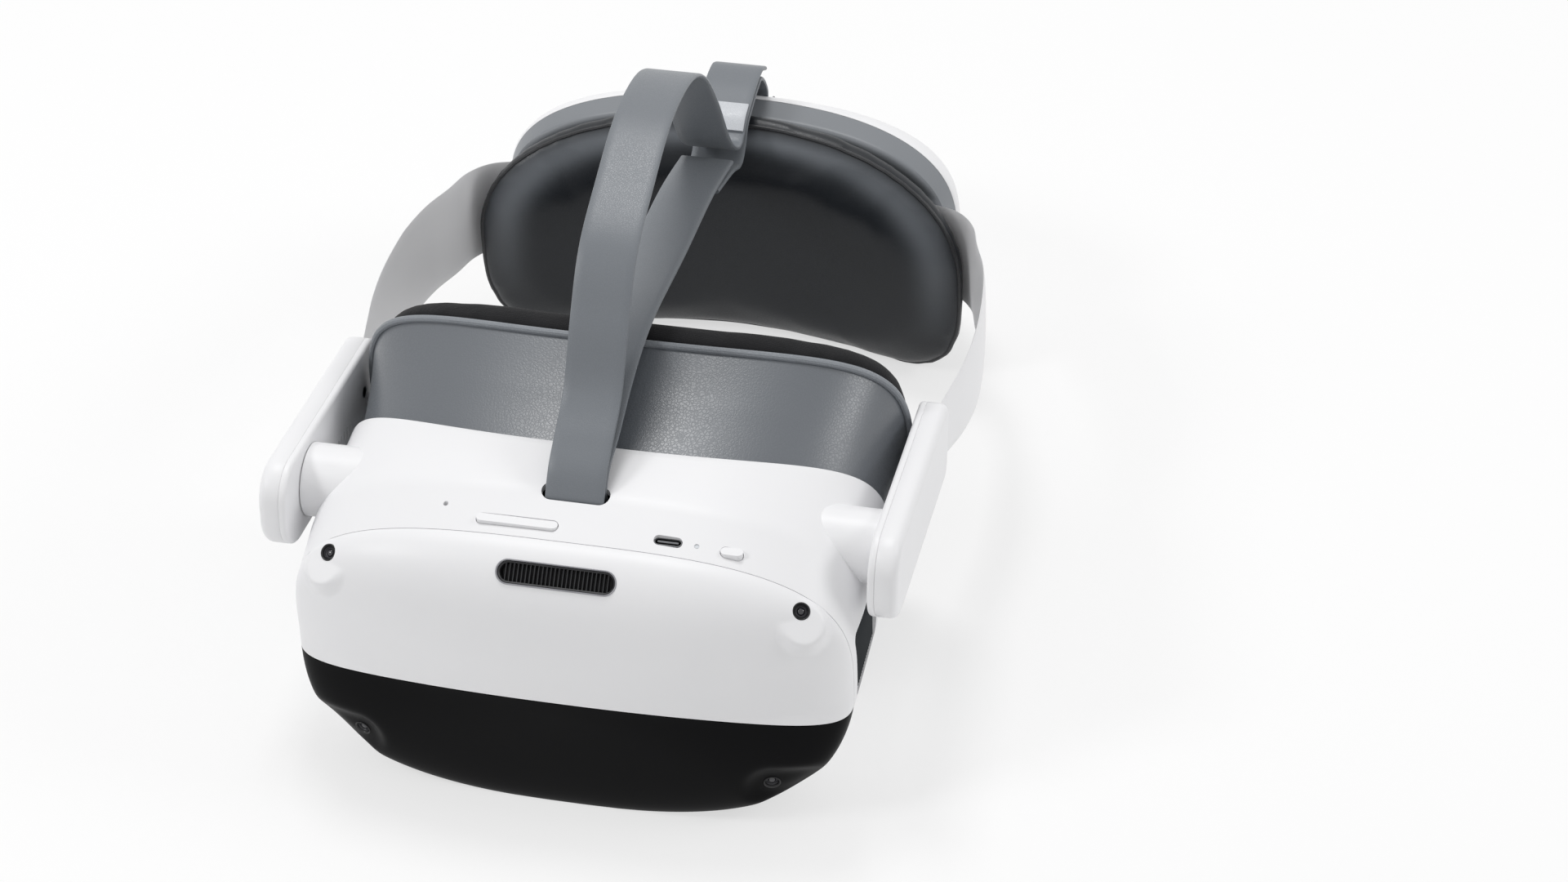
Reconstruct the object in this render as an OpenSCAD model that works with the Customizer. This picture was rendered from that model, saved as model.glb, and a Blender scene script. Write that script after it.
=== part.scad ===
// Stand-alone virtual reality headset, with its battery in the rear head pad.
// The front faces -Y, +X is the viewer's right, +Z is up, and the table is at z = 0.
// Lengths along the headset are measured back from the front of the visor.

/* [Front body] */
// Width of the front body
body_w = 181; // [174:1:184]
// Height of the front body at the seam behind the front cover
seam_h = 93; // [90:0.5:96]
// Height of the main housing at its rear edge
housing_h = 101; // [96:0.5:106]
// Depth of the front cover, from the front of the visor to the seam
visor_depth = 24; // [20:0.5:26]
// Depth from the front of the visor to the housing's rear edge, at the middle
housing_depth = 61; // [60:0.5:70]
// How far the sides of the housing's rear edge lie behind its middle
housing_sweep = 23; // [15:1:28]
// Squareness of the body's cross section
body_power = 3.3; // [3:0.1:3.8]
// Squareness of its lower half, which is rounder
lower_power = 2.5; // [2.4:0.1:3.3]
// Wall of the front covers and the main housing
shell_wall = 2.2; // [1.8:0.1:2.8]
// Height of the line between the white cover and the black visor, at the middle
split_z = 47; // [40:0.5:50]
// How far that line drops towards the sides
split_drop = 8.5; // [0:0.5:10]
// Gap along the seams between covers
seam_gap = 0.3; // [0.2:0.05:0.5]

/* [Vent and cameras] */
// Length of the vent in the front cover
vent_l = 38; // [30:1:44]
// Height of the vent
vent_h = 7.6; // [6:0.2:10]
// Height of the vent's middle above the table
vent_z = 88; // [84:0.5:88.5]
// Number of slats in the vent
vent_slats = 22; // [12:1:26]
// Sideways place of the upper cameras
upper_camera_x = 75.5; // [68:0.5:76]
// Height of the upper cameras
upper_camera_z = 81; // [74:0.5:81.5]
// Sideways place of the lower cameras
lower_camera_x = 68; // [62:1:70]
// Height of the lower cameras
lower_camera_z = 17; // [15:1:22]
// Diameter of a camera's lens
camera_lens_d = 4.6; // [4:0.2:5]
// Diameter of a camera's barrel
camera_body_d = 6.2; // [6:0.2:9]
// Length of a camera's barrel
camera_body_l = 7; // [5:0.5:8]

/* [Fan and boards] */
// Side of the square fan frame
fan_w = 40; // [34:1:42]
// Thickness of the fan frame
fan_t = 6; // [5.6:0.2:6.4]
// Diameter of the fan's rotor
fan_rotor_d = 35; // [28:0.5:35]
// Number of fan blades
fan_blades = 9; // [7:1:13]
// Diameter of the fan's pin
fan_pin_d = 2; // [1.6:0.1:2.4]
// Height of the fan's axis
fan_z = 62; // [58:1:64]
// Number of heat sink fins
sink_fins = 12; // [8:1:16]
// Width of the mainboard
board_w = 128; // [100:2:132]
// Height of the mainboard
board_h = 62; // [56:1:66]
// Thickness of the circuit boards
board_t = 1.2; // [1:0.1:1.4]

/* [Optics] */
// Distance between the lens axes
lens_spacing = 63.5; // [61:0.5:66]
// Travel of each lens to either side
lens_travel = 2.75; // [1:0.25:3]
// Height of the lens axes
lens_z = 52; // [50:0.5:54]
// Diameter of each lens
lens_d = 40; // [36:0.5:42]
// Outer diameter of each lens barrel
barrel_d = 46; // [45:0.5:48]
// Length of each lens barrel
barrel_l = 26; // [22:0.5:28]
// Diameter of the rails that the lenses slide on
rail_d = 3; // [2.6:0.1:3.4]
// Distance from a rail to the lens axis
rail_offset = 30; // [28.5:0.5:31]
// Length of the rails
rail_l = 126; // [118:1:127]
// Width of the display panel
display_w = 112; // [104:1:113]
// Height of the display panel
display_h = 64; // [58:1:65]
// Thickness of the optics frame's plate
frame_t = 3; // [2.6:0.1:3.4]

/* [Face shield and cushion] */
// Width of the shield at its rim
rim_w = 183; // [178:0.5:183.5]
// Height of the shield's rim above the table
rim_h = 111; // [108:0.5:116]
// Depth from the front of the visor to the rim, at the middle
rim_depth = 104; // [96:1:112]
// How far the sides of the rim lie behind its middle
rim_sweep = 14; // [8:1:18]
// Wall of the shield
shield_wall = 2; // [1.6:0.1:2.6]
// Thickness of the face cushion, front to back
cushion_t = 11; // [8:0.5:14]
// Width of the face cushion's band
cushion_band = 13; // [10:0.5:16]
// Half width of the nose arch
nose_half_w = 21; // [17:0.5:24]
// Rise of the nose arch at the rim
nose_h = 40; // [30:1:46]

/* [Controls] */
// Length of the volume rocker
rocker_l = 26; // [18:0.5:30]
// Width of the volume rocker
rocker_w = 3.4; // [2.8:0.2:4.2]
// Sideways place of the volume rocker's middle
rocker_x = -16; // [-18:0.5:-14]
// Length of the power button
power_l = 7; // [5:0.5:9]
// Sideways place of the power button
power_x = 52; // [50:0.5:54]
// Travel of the buttons
button_travel = 0.6; // [0.4:0.1:0.8]
// Sideways place of the charging port
port_x = 32; // [28:0.5:34]
// Sideways place of the microphone
mic_x = -40; // [-42:0.5:-36]
// Distance of the controls behind the seam
control_back = 5; // [4.5:0.5:7]

/* [Arms] */
// Distance of the arm pivot behind the front of the visor
pivot_y = 56; // [52:0.5:58]
// Height of the arm pivot
pivot_z = 77.5; // [74:0.5:79]
// Diameter of the pivot hubs
hub_d = 24; // [20:0.5:26]
// Diameter of the pivot pins
pivot_pin_d = 8; // [6:0.5:10]
// Gap between the shield's rim and the arms
arm_gap = 1.8; // [1.5:0.1:3]
// Length of an arm in front of its pivot
arm_front = 25; // [20:0.5:28]
// Length of an arm behind its pivot
arm_rear = 71; // [60:1:78]
// Height of an arm
arm_h = 29.5; // [26:0.5:34]
// Thickness of an arm
arm_t = 9.5; // [8.5:0.5:12]
// Angle at which the arms slope down to the rear
arm_slope = 9; // [0:1:9]
// Height of the flexible bands at their rear ends
band_h = 38; // [28:1:42]
// Thickness of the flexible bands
band_t = 2; // [1.6:0.1:2.2]
// How far the bands bow out past the arms
band_bow = 5.3; // [1:0.1:6]
// Diameter of the speakers
speaker_d = 19; // [14:0.5:20]

/* [Rear housing] */
// Width of the rear pad
pad_w = 180; // [176:1:182]
// Height of the rear pad's top above the table
pad_h = 94; // [92:0.5:96]
// Depth from the front of the visor to the rear pad, at the middle
pad_depth = 244; // [240:1:256]
// Thickness of the rear pad
pad_t = 16; // [12:0.5:18]
// How far the pad's sides lie in front of its middle
rear_sag = 20; // [18:0.5:21]
// Rise of the pad's lower edge between its lobes
pad_arch = 8; // [6:0.5:12]
// Gap behind the pad that the bands run into
band_slot = 3.2; // [3:0.1:3.6]
// Depth of the grey cover behind the pad
cover_depth = 11; // [9:0.5:12]
// Depth of the white rear shell
rear_shell_depth = 17; // [16:0.5:20]
// How far the top of the rear shell falls towards its back
shell_fall = 14; // [8:0.5:15]
// Wall of the rear covers
rear_wall = 2; // [1.6:0.1:2.2]
// Height of the dial's axis
dial_z = 50; // [49:0.5:52]
// Diameter of the dial
dial_d = 46; // [36:1:54]
// Thickness of the dial
dial_t = 10; // [8:0.5:14]
// Number of grips around the dial
dial_grips = 30; // [18:1:40]
// Diameter of the dial's shaft
shaft_d = 6; // [5:0.5:7]
// Tooth size of the pinion and the racks, pitch over pi
gear_module = 0.8; // [0.75:0.05:0.85]
// Number of pinion teeth
pinion_teeth = 14; // [14:2:16]
// Length of each rack
rack_l = 92; // [88:1:94]
// How far the rear housing can move back from where it stands
slide_out = 14; // [8:1:14]
// How far the rear housing can move forward from where it stands
slide_in = 6; // [2:1:6]

/* [Straps] */
// Width of the top straps
strap_w = 19; // [16:0.5:20]
// Thickness of the top straps
strap_t = 1.6; // [1.2:0.1:1.8]
// Distance of the front strap slot behind the front of the visor
strap_slot_y = 41; // [40:0.5:44]
// Diameter of the bars that the straps run round
strap_bar_d = 3; // [2.6:0.2:3.4]
// Height of the front strap's arch above the housing
strap_arch = 67; // [40:1:80]

/* [Fits] */
// Radial clearance of shafts and slides
running_gap = 0.05; // [0.03:0.01:0.08]
// Clearance between covers and what sits inside them
inner_gap = 0.4; // [0.3:0.05:0.6]
// Clearance around the buttons and ports
button_gap = 0.4; // [0.35:0.05:0.5]

/* [Hidden] */
$fn = 48;
white = "#F1F0F3";
black = "#1B1B1D";
dark = "#2B2D30";
grey = "#6A6F76";
pad_grey = "#30343A";
strap_grey = "#7C8289";
steel = "#B9BCC0";
green = "#2F5D43";

// Points round a body section, and round the rear pad's outline
RING = 72;
// The lowest of a body section lies under the table line, which cuts it flat
floor_cut = 3;
body_a = body_w / 2;
body_mid = (seam_h - floor_cut) / 2;
body_b = (seam_h + floor_cut) / 2;
// Squareness of the front's edge, at the top and at the chin
edge_power = 2;
chin_power = 8;
nose_start = 36;

// Overall depth, and the shift that puts the origin at the middle of the base
rim_gap = 0.3;
cover_y = pad_depth + pad_t + band_slot;
shell_y = cover_y + cover_depth;
back_y = shell_y + rear_shell_depth;
dial_y = back_y + rim_gap;
overall_depth = dial_y + dial_t;
origin_y = overall_depth / 2;

module in_frame() {
    translate([0, -origin_y, 0])
        children();
}

// Sections of the front body

// Squareness at an angle or a height: s is above 0 in the upper half
function power_at(s, top = body_power) = s < 0 ? lower_power : top;

// Distance from the middle to a squared ellipse of half sizes a and b, at angle t
function squared_r(t, a, b, n) = pow(pow(abs(cos(t)) / a, n) + pow(abs(sin(t)) / b, n), -1 / n);

// How far the nose arch lifts the lower edge at a depth y
function nose_rise(y) = nose_h * max(0, (y - nose_start) / (rim_depth - nose_start));

// A ring round the body: depth y at the middle, half width a, bottom z0, top z1,
// with its sides swept back and its lower edge lifted for the nose
function body_ring(y, a, z0, z1, sweep, lift, top = body_power) = [
    for (i = [0 : RING - 1])
        let (t = 360 * i / RING)
        let (mid = (z0 + z1) / 2)
        let (r = squared_r(t, a, (z1 - z0) / 2, power_at(sin(t), top)))
        let (x = r * cos(t))
        let (nose = sin(t) < 0 ? lift * exp(-pow(x / nose_half_w, 2)) : 0)
        [x, y + sweep * pow(abs(x) / a, 3), max(0, mid + r * sin(t) + nose)]
];

// The same ring drawn in by d all round, and lifted off the floor by d too
function inner_ring(y, a, z0, z1, sweep, lift, d) = [
    for (p = body_ring(y, a - d, max(z0, 0) + d, z1 - d, sweep, lift))
        [p[0], p[1], max(p[2], d)]
];

// Triangles between rings of n points each, and over the two ends
function wrap(m, n, closed) = [
    for (r = [0 : (closed ? m - 1 : m - 2)], i = [0 : n - 1])
        let (q = (r + 1) % m, j = (i + 1) % n)
        each [[r * n + i, r * n + j, q * n + j], [r * n + i, q * n + j, q * n + i]]
];
function join(lists) = [for (l = lists) each l];
function backwards(l) = [for (k = [len(l) - 1 : -1 : 0]) l[k]];
function middle(ring) = [for (k = [0 : 2]) [for (p = ring) p[k]] * [for (p = ring) 1] / len(ring)];

// A tube or ring whose skin closes on itself
module closed_skin(rings) {
    polyhedron(join(rings), wrap(len(rings), len(rings[0]), true), 4);
}

// A body with a skin through the rings and a fan over each end
module capped_skin(rings) {
    n = len(rings[0]);
    last = (len(rings) - 1) * n;
    first_hub = len(rings) * n;
    caps = [
        for (i = [0 : n - 1])
            let (j = (i + 1) % n)
            each [[first_hub, j, i], [first_hub + 1, last + i, last + j]]
    ];
    hubs = [middle(rings[0]), middle(rings[len(rings) - 1])];
    polyhedron(concat(join(rings), hubs), concat(wrap(len(rings), n, false), caps), 4);
}

// A thick sheet between two grids of rows and columns
module slab(outer, inner) {
    rows = len(outer);
    cols = len(outer[0]);
    n = rows * cols;
    function quad(a, b, c, d) = [[a, b, c], [a, c, d]];
    faces = concat(
        [for (r = [0 : rows - 2], c = [0 : cols - 2]) let (k = r * cols + c)
            each quad(k, k + 1, k + cols + 1, k + cols)],
        [for (r = [0 : rows - 2], c = [0 : cols - 2]) let (k = n + r * cols + c)
            each quad(k + cols, k + cols + 1, k + 1, k)],
        [for (c = [0 : cols - 2]) each quad(c + 1, c, n + c, n + c + 1)],
        [for (c = [0 : cols - 2]) let (k = (rows - 1) * cols + c)
            each quad(k, k + 1, n + k + 1, n + k)],
        [for (r = [0 : rows - 2]) let (k = r * cols)
            each quad(k, k + cols, n + k + cols, n + k)],
        [for (r = [0 : rows - 2]) let (k = r * cols + cols - 1)
            each quad(k + cols, k, n + k, n + k + cols)]
    );
    polyhedron(concat(join(outer), join(inner)), faces, 4);
}

// Front covers

// Depth of the front surface at x and z: a bulge that turns back at its edge, tighter at the chin
function front_y(x, z) =
    let (v = (z - body_mid) / body_b)
    let (m = edge_power + (chin_power - edge_power) * pow(max(0, -v), 1.5))
    let (n = power_at(v))
    let (rho = pow(pow(abs(x) / body_a, n) + pow(abs(v), n), 1 / n))
    visor_depth * (1 - pow(max(0, 1 - pow(min(1, rho), m)), 1 / m));
function split_at(x) = split_z - split_drop * pow(x / body_a, 2);

// Points of the front surface between the split line and the seam, from angle t0 to t1
front_cols = 48;
front_rows = 10;
split_inset = 0.9;
function front_grid(t0, t1, drop) = [
    for (r = [0 : front_rows])
        let (s = sin(90 * r / front_rows))
        [for (c = [0 : front_cols])
            let (t = t0 + (t1 - t0) * c / front_cols)
            let (rad = squared_r(t, body_a, body_b, power_at(sin(t))))
            let (edge = [rad * cos(t), body_mid + rad * sin(t)])
            let (side = cos(180 * c / front_cols) * (t0 < 90 ? 1 : -1))
            let (bx = split_inset * body_a * side)
            let (p = [bx, split_at(bx) - drop] * (1 - s) + edge * s)
            [p[0], front_y(p[0], p[1]), max(0, p[1])]]
];
function drawn_in(grid) = [
    for (row = grid)
        [for (p = row)
            [p[0] * (1 - shell_wall / body_a),
             min(p[1] + shell_wall, visor_depth),
             max(shell_wall, body_mid + (p[2] - body_mid) * (1 - shell_wall / body_b))]]
];
split_angle = atan2(split_at(body_a) - body_mid, body_a);
gap_angle = atan2(split_at(body_a) - seam_gap - body_mid, body_a);

// Turns +Z to the outward normal of the front surface at x and z, and moves there
module on_front(x, z) {
    e = 0.5;
    slope_x = (front_y(x + e, z) - front_y(x - e, z)) / (2 * e);
    slope_z = (front_y(x, z + e) - front_y(x, z - e)) / (2 * e);
    n = [slope_x, -1, slope_z];
    translate([x, front_y(x, z), z])
        rotate([0, acos(n[2] / norm(n)), atan2(n[1], n[0])])
            children();
}

module at_cameras(upper) {
    for (side = [-1, 1])
        on_front(side * (upper ? upper_camera_x : lower_camera_x), upper ? upper_camera_z : lower_camera_z)
            children();
}

// A slot outline with round ends, l long and w wide, along X
module slot_outline(l, w) {
    square([l - w, w], center = true);
    for (side = [-1, 1])
        translate([side * (l - w) / 2, 0])
            circle(d = w);
}

camera_bore_d = camera_body_d + 2 * running_gap;
camera_sink = 0.6;
vent_wall = 1;
module vent_place() {
    on_front(0, vent_z)
        rotate([0, 0, 90])
            children();
}

module front_cover() {
    outer = front_grid(split_angle, 180 - split_angle, 0);
    color(white) in_frame() difference() {
        slab(outer, drawn_in(outer));
        vent_place()
            translate([0, 0, -2 * vent_h])
                linear_extrude(3 * vent_h)
                    slot_outline(vent_l, vent_h);
        at_cameras(true)
            cylinder(d = camera_bore_d, h = 3 * camera_body_l, center = true);
    }
}

module lower_visor() {
    outer = front_grid(180 - gap_angle, 360 + gap_angle, seam_gap);
    color(black) in_frame() difference() {
        slab(outer, drawn_in(outer));
        at_cameras(false)
            cylinder(d = camera_bore_d, h = 3 * camera_body_l, center = true);
    }
}

vent_depth = 2.4;
vent_recess = 1.2;
module vent_grille() {
    pitch = (vent_l - vent_h) / (vent_slats - 1);
    fit_l = vent_l - 2 * running_gap;
    fit_h = vent_h - 2 * running_gap;
    color(black) in_frame() vent_place() translate([0, 0, -vent_recess - vent_depth]) {
        linear_extrude(vent_depth) difference() {
            slot_outline(fit_l, fit_h);
            slot_outline(fit_l - 2 * vent_wall, fit_h - 2 * vent_wall);
        }
        linear_extrude(vent_depth - vent_wall)
            for (k = [0 : vent_slats - 1])
                translate([(k - (vent_slats - 1) / 2) * pitch, 0])
                    square([pitch / 2, fit_h - vent_wall], center = true);
    }
}

module camera_barrels(upper) {
    at_cameras(upper) translate([0, 0, -camera_sink - camera_body_l]) difference() {
        cylinder(d = camera_body_d, h = camera_body_l);
        translate([0, 0, camera_body_l / 2])
            cylinder(d = camera_lens_d, h = camera_body_l);
    }
}

module camera_modules() {
    color(dark) in_frame() for (upper = [true, false])
        camera_barrels(upper);
}

module camera_lenses() {
    lens_fit = camera_lens_d - 2 * running_gap;
    color("#0C0D10") in_frame() for (upper = [true, false])
        at_cameras(upper)
            translate([0, 0, -camera_sink - camera_body_l / 2])
                cylinder(d = lens_fit, h = camera_body_l / 2 - camera_sink);
}

// Main housing

housing_a = body_a + 0.5;
// Height of the housing's top at the strap slot
slot_top = (seam_h + 2 * housing_h) / 3 + 0.5;
function housing_rings(d) = [
    housing_ring(visor_depth + seam_gap, body_a, seam_h, 0, d),
    housing_ring(strap_slot_y, housing_a, slot_top, 0, d),
    housing_ring(housing_depth, housing_a, housing_h, housing_sweep, d)
];
function housing_ring(y, a, top, sweep, d) =
    d > 0 ? inner_ring(y, a, -floor_cut, top, sweep, nose_rise(y), d)
    : body_ring(y, a, -floor_cut, top, sweep, nose_rise(y));

// Height of the housing's top surface at x, just behind the seam
control_y = visor_depth + control_back;
control_rise = (slot_top - seam_h) * control_back / (strap_slot_y - visor_depth);
control_top = seam_h + control_rise;
function top_z(x) =
    let (mid = (control_top - floor_cut) / 2)
    mid + (control_top + floor_cut) / 2 * pow(1 - pow(abs(x) / body_a, body_power), 1 / body_power);

port_l = 9;
port_w = 3.2;
led_d = 1.6;
mic_d = 1.6;
mic_y = control_y + 4;
power_w = rocker_w;
// Distance of the strap's middle from the axis of the bar that it runs round
bar_loop = strap_bar_d / 2 + inner_gap + strap_t / 2;
strap_slot_l = strap_w + 5;
strap_slot_w = 2 * bar_loop + strap_t + 2 * inner_gap;
cut_h = 12;

module side_pivot(side) {
    translate([0, pivot_y, pivot_z])
        rotate([0, side * 90, 0])
            children();
}

// Side intake panels under the arms
intake_y = 44;
intake_z = 50;
intake_l = 30;
intake_h = 26;
intake_t = 1.6;
intake_bars = 7;
module intake_place(side) {
    translate([side * housing_a, intake_y, intake_z])
        rotate([90, 0, 90])
            children();
}

module main_housing() {
    color(white) in_frame() difference() {
        closed_skin(concat(housing_rings(0), backwards(housing_rings(shell_wall))));
        translate([0, strap_slot_y, housing_h - cut_h])
            linear_extrude(2 * cut_h)
                slot_outline(strap_slot_l, strap_slot_w);
        for (side = [-1, 1])
            side_pivot(side)
                cylinder(d = hub_d, h = body_w);
        for (side = [-1, 1])
            intake_place(side)
                cube([intake_l, intake_h, 4 * shell_wall], center = true);
        translate([port_x, control_y, control_top - cut_h])
            linear_extrude(2 * cut_h)
                slot_outline(port_l + 2 * button_gap, port_w + 2 * button_gap);
        translate([rocker_x, control_y, control_top - cut_h])
            linear_extrude(2 * cut_h)
                slot_outline(rocker_l + 2 * button_gap, rocker_w + 2 * button_gap);
        translate([power_x, control_y, control_top - cut_h])
            linear_extrude(2 * cut_h)
                slot_outline(power_l + 2 * button_gap, power_w + 2 * button_gap);
        translate([port_x + port_l, control_y, control_top - cut_h])
            cylinder(d = led_d, h = 2 * cut_h);
        translate([mic_x, mic_y, housing_h - cut_h])
            cylinder(d = mic_d, h = 2 * cut_h);
    }
}

module side_intakes() {
    frame = 2;
    fit_l = intake_l - 2 * running_gap;
    fit_h = intake_h - 2 * running_gap;
    pitch = (fit_h - 2 * frame) / intake_bars;
    color(dark) in_frame() for (side = [-1, 1])
        intake_place(side) translate([0, 0, side > 0 ? -intake_t - 1 : 1]) {
            linear_extrude(intake_t) difference() {
                square([fit_l, fit_h], center = true);
                square([fit_l - 2 * frame, fit_h - 2 * frame], center = true);
            }
            linear_extrude(intake_t)
                for (k = [1 : intake_bars - 1])
                    translate([0, (k - intake_bars / 2) * pitch])
                        square([fit_l - frame, pitch / 2], center = true);
        }
}

hub_in = body_a - 17;
rim_a = rim_w / 2;
arm_in = rim_a + arm_gap;
module pivot_hub(side) {
    color(white) in_frame() side_pivot(side) difference() {
        translate([0, 0, hub_in])
            cylinder(d = hub_d, h = arm_in - rim_gap - hub_in);
        cylinder(d = pivot_pin_d + 2 * running_gap, h = 2 * body_w);
    }
}
module pivot_hub_left() { pivot_hub(-1); }
module pivot_hub_right() { pivot_hub(1); }

// A bar under a strap slot, with a foot at each end that reaches up to the wall above
bar_drop = 6;
bar_foot = 4;
strap_bar_z = slot_top - bar_drop;
module strap_bar(reach) {
    rotate([0, 90, 0])
        cylinder(d = strap_bar_d, h = strap_slot_l + bar_foot, center = true);
    for (side = [-1, 1])
        translate([side * (strap_slot_l + bar_foot) / 2, 0, reach / 2 - strap_bar_d / 2])
            cube([bar_foot, 2 * strap_bar_d, reach + strap_bar_d], center = true);
}
module front_strap_bar() {
    top_slope = (slot_top - seam_h) / (strap_slot_y - visor_depth);
    color(dark) in_frame() translate([0, strap_slot_y, strap_bar_z])
        strap_bar(bar_drop - shell_wall - inner_gap - top_slope * strap_bar_d);
}

// Optics

frame_y = visor_depth + 3;
frame_back = frame_y + frame_t;
display_t = 1.6;
rail_y = frame_back + display_t + 4.4;
standoff_l = 1.8;
standoff_d = 5;
screw_d = 2;
screw_head_d = 4;
screw_head_t = 1.2;
board_y = frame_y - standoff_l - board_t;
board_z = fan_z - 8;
screw_hole_d = screw_d + 2 * running_gap;
module at_board_screws() {
    for (sx = [-1, 1], sz = [-1, 1])
        translate([sx * (board_w / 2 - 4), 0, board_z + sz * (board_h / 2 - 4)])
            rotate([-90, 0, 0])
                children();
}

// Outline of the housing's inside at depth y, with a gap to the housing
function inside_outline(y, gap) =
    let (lift = max(nose_rise(y), nose_rise(strap_slot_y)))
    [for (p = inner_ring(y, body_a, -floor_cut, seam_h, 0, lift, shell_wall + gap)) [p[0], p[2]]];
module upright_plate(y, t, gap) {
    translate([0, y + t, 0])
        rotate([90, 0, 0])
            linear_extrude(t)
                polygon(inside_outline(y + t, gap));
}

window_w = 100;
window_h = 50;
lug = 6;
lug_l = rail_y + lug / 2 - frame_back;
module optics_frame() {
    color(dark) in_frame() difference() {
        union() {
            upright_plate(frame_y, frame_t, inner_gap);
            translate([0, frame_y - standoff_l, 0])
                at_board_screws()
                    cylinder(d = standoff_d, h = standoff_l);
            for (sx = [-1, 1], sz = [-1, 1])
                translate([sx * (rail_l - lug) / 2, frame_back + lug_l / 2, lens_z + sz * rail_offset])
                    cube([lug, lug_l, lug], center = true);
        }
        translate([0, frame_y, lens_z])
            cube([window_w, 4 * frame_t, window_h], center = true);
        translate([-body_a, frame_y - 2 * frame_t, panel_z - board_t])
            cube([body_w, 4 * frame_t, seam_h]);
        at_board_screws()
            translate([0, 0, frame_y - 2 * frame_t])
                cylinder(d = screw_hole_d, h = 4 * frame_t);
        for (sz = [-1, 1])
            translate([0, rail_y, lens_z + sz * rail_offset])
                rotate([0, 90, 0])
                    cylinder(d = rail_d + 2 * running_gap, h = 2 * rail_l, center = true);
    }
}

module mainboard() {
    color(green) in_frame() difference() {
        translate([-board_w / 2, board_y, board_z - board_h / 2])
            cube([board_w, board_t, board_h]);
        at_board_screws()
            cylinder(d = screw_hole_d, h = 3 * visor_depth);
    }
}

module frame_screws() {
    color(steel) in_frame() translate([0, board_y - screw_head_t, 0])
        at_board_screws() {
            cylinder(d = screw_head_d, h = screw_head_t);
            cylinder(d = screw_d, h = screw_head_t + board_t + standoff_l + frame_t);
        }
}

sink_base = 1.2;
sink_fin = 2.6;
sink_t = sink_base + sink_fin;
module heat_sink() {
    pitch = fan_w / sink_fins;
    color(steel) in_frame() translate([0, board_y - sink_t, fan_z]) {
        translate([-fan_w / 2, sink_fin, -fan_w / 2])
            cube([fan_w, sink_base, fan_w]);
        for (k = [0 : sink_fins - 1])
            translate([-fan_w / 2 + k * pitch, 0, -fan_w / 2])
                cube([pitch / 3, sink_fin, fan_w]);
    }
}

fan_y = board_y - sink_t - fan_t;
fan_bore_d = fan_rotor_d + 1;
fan_floor = 1.2;
module fan_housing() {
    color(dark) in_frame() translate([0, fan_y + fan_t, fan_z]) rotate([90, 0, 0]) difference() {
        translate([-fan_w / 2, -fan_w / 2, 0])
            cube([fan_w, fan_w, fan_t]);
        translate([0, 0, fan_floor])
            cylinder(d = fan_bore_d, h = fan_t);
        difference() {
            translate([0, 0, -fan_floor])
                cylinder(d = fan_bore_d - 4, h = 3 * fan_floor);
            for (turn = [0, 90])
                rotate([0, 0, turn])
                    cube([fan_w, 5, 4 * fan_floor], center = true);
            cylinder(d = 12, h = 4 * fan_floor, center = true);
        }
        translate([0, 0, -fan_floor])
            cylinder(d = fan_pin_d, h = 3 * fan_floor);
    }
}

fan_hub_d = 14;
fan_gap = 0.4;
module fan_pin() {
    color(steel) in_frame() translate([0, fan_y + fan_t, fan_z]) rotate([90, 0, 0])
        cylinder(d = fan_pin_d, h = fan_t);
}
module fan_rotor() {
    rotor_h = fan_t - fan_floor - 2 * fan_gap;
    blade_t = 1.2;
    color(black) in_frame() translate([0, fan_y + fan_t - fan_floor - fan_gap, fan_z]) rotate([90, 0, 0])
        linear_extrude(rotor_h) difference() {
            union() {
                circle(d = fan_hub_d);
                for (k = [0 : fan_blades - 1])
                    rotate(k * 360 / fan_blades)
                        translate([fan_hub_d / 2 - 1, -blade_t / 2])
                            square([(fan_rotor_d - fan_hub_d) / 2, blade_t]);
            }
            circle(d = fan_pin_d + 2 * running_gap);
        }
}

module display_panel() {
    color("#0B0C10") in_frame()
        translate([-display_w / 2, frame_back, lens_z - display_h / 2])
            cube([display_w, display_t, display_h]);
}

module ipd_rails() {
    color(steel) in_frame() for (sz = [-1, 1])
        translate([0, rail_y, lens_z + sz * rail_offset])
            rotate([0, 90, 0])
                cylinder(d = rail_d, h = rail_l, center = true);
}

barrel_y = frame_back + display_t + 1;
barrel_wall = 2;
sleeve_l = 14;
sleeve_d = rail_d + 3.2;
lens_seat = 3;
module lens_place(side) {
    translate([side * lens_spacing / 2, barrel_y, lens_z])
        rotate([-90, 0, 0])
            children();
}
module lens_barrel(side) {
    color(black) in_frame() difference() {
        union() {
            lens_place(side)
                cylinder(d = barrel_d, h = barrel_l);
            for (sz = [-1, 1])
                translate([side * lens_spacing / 2, rail_y, lens_z + sz * rail_offset]) {
                    rotate([0, 90, 0])
                        cylinder(d = sleeve_d, h = sleeve_l, center = true);
                    translate([0, 0, -sz * (rail_offset - barrel_d / 2) / 2])
                        cube([sleeve_l, sleeve_d / 2, rail_offset - barrel_d / 2 + 1], center = true);
                }
        }
        lens_place(side) {
            translate([0, 0, -1])
                cylinder(d = lens_d - 2 * barrel_wall, h = 2 * barrel_l);
            translate([0, 0, barrel_l - lens_seat - lens_edge_t])
                cylinder(d = lens_d + 2 * running_gap, h = 2 * barrel_l);
        }
        for (sz = [-1, 1])
            translate([0, rail_y, lens_z + sz * rail_offset])
                rotate([0, 90, 0])
                    cylinder(d = rail_d + 2 * running_gap, h = 2 * rail_l, center = true);
    }
}
module lens_barrel_left() { lens_barrel(-1); }
module lens_barrel_right() { lens_barrel(1); }

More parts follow.
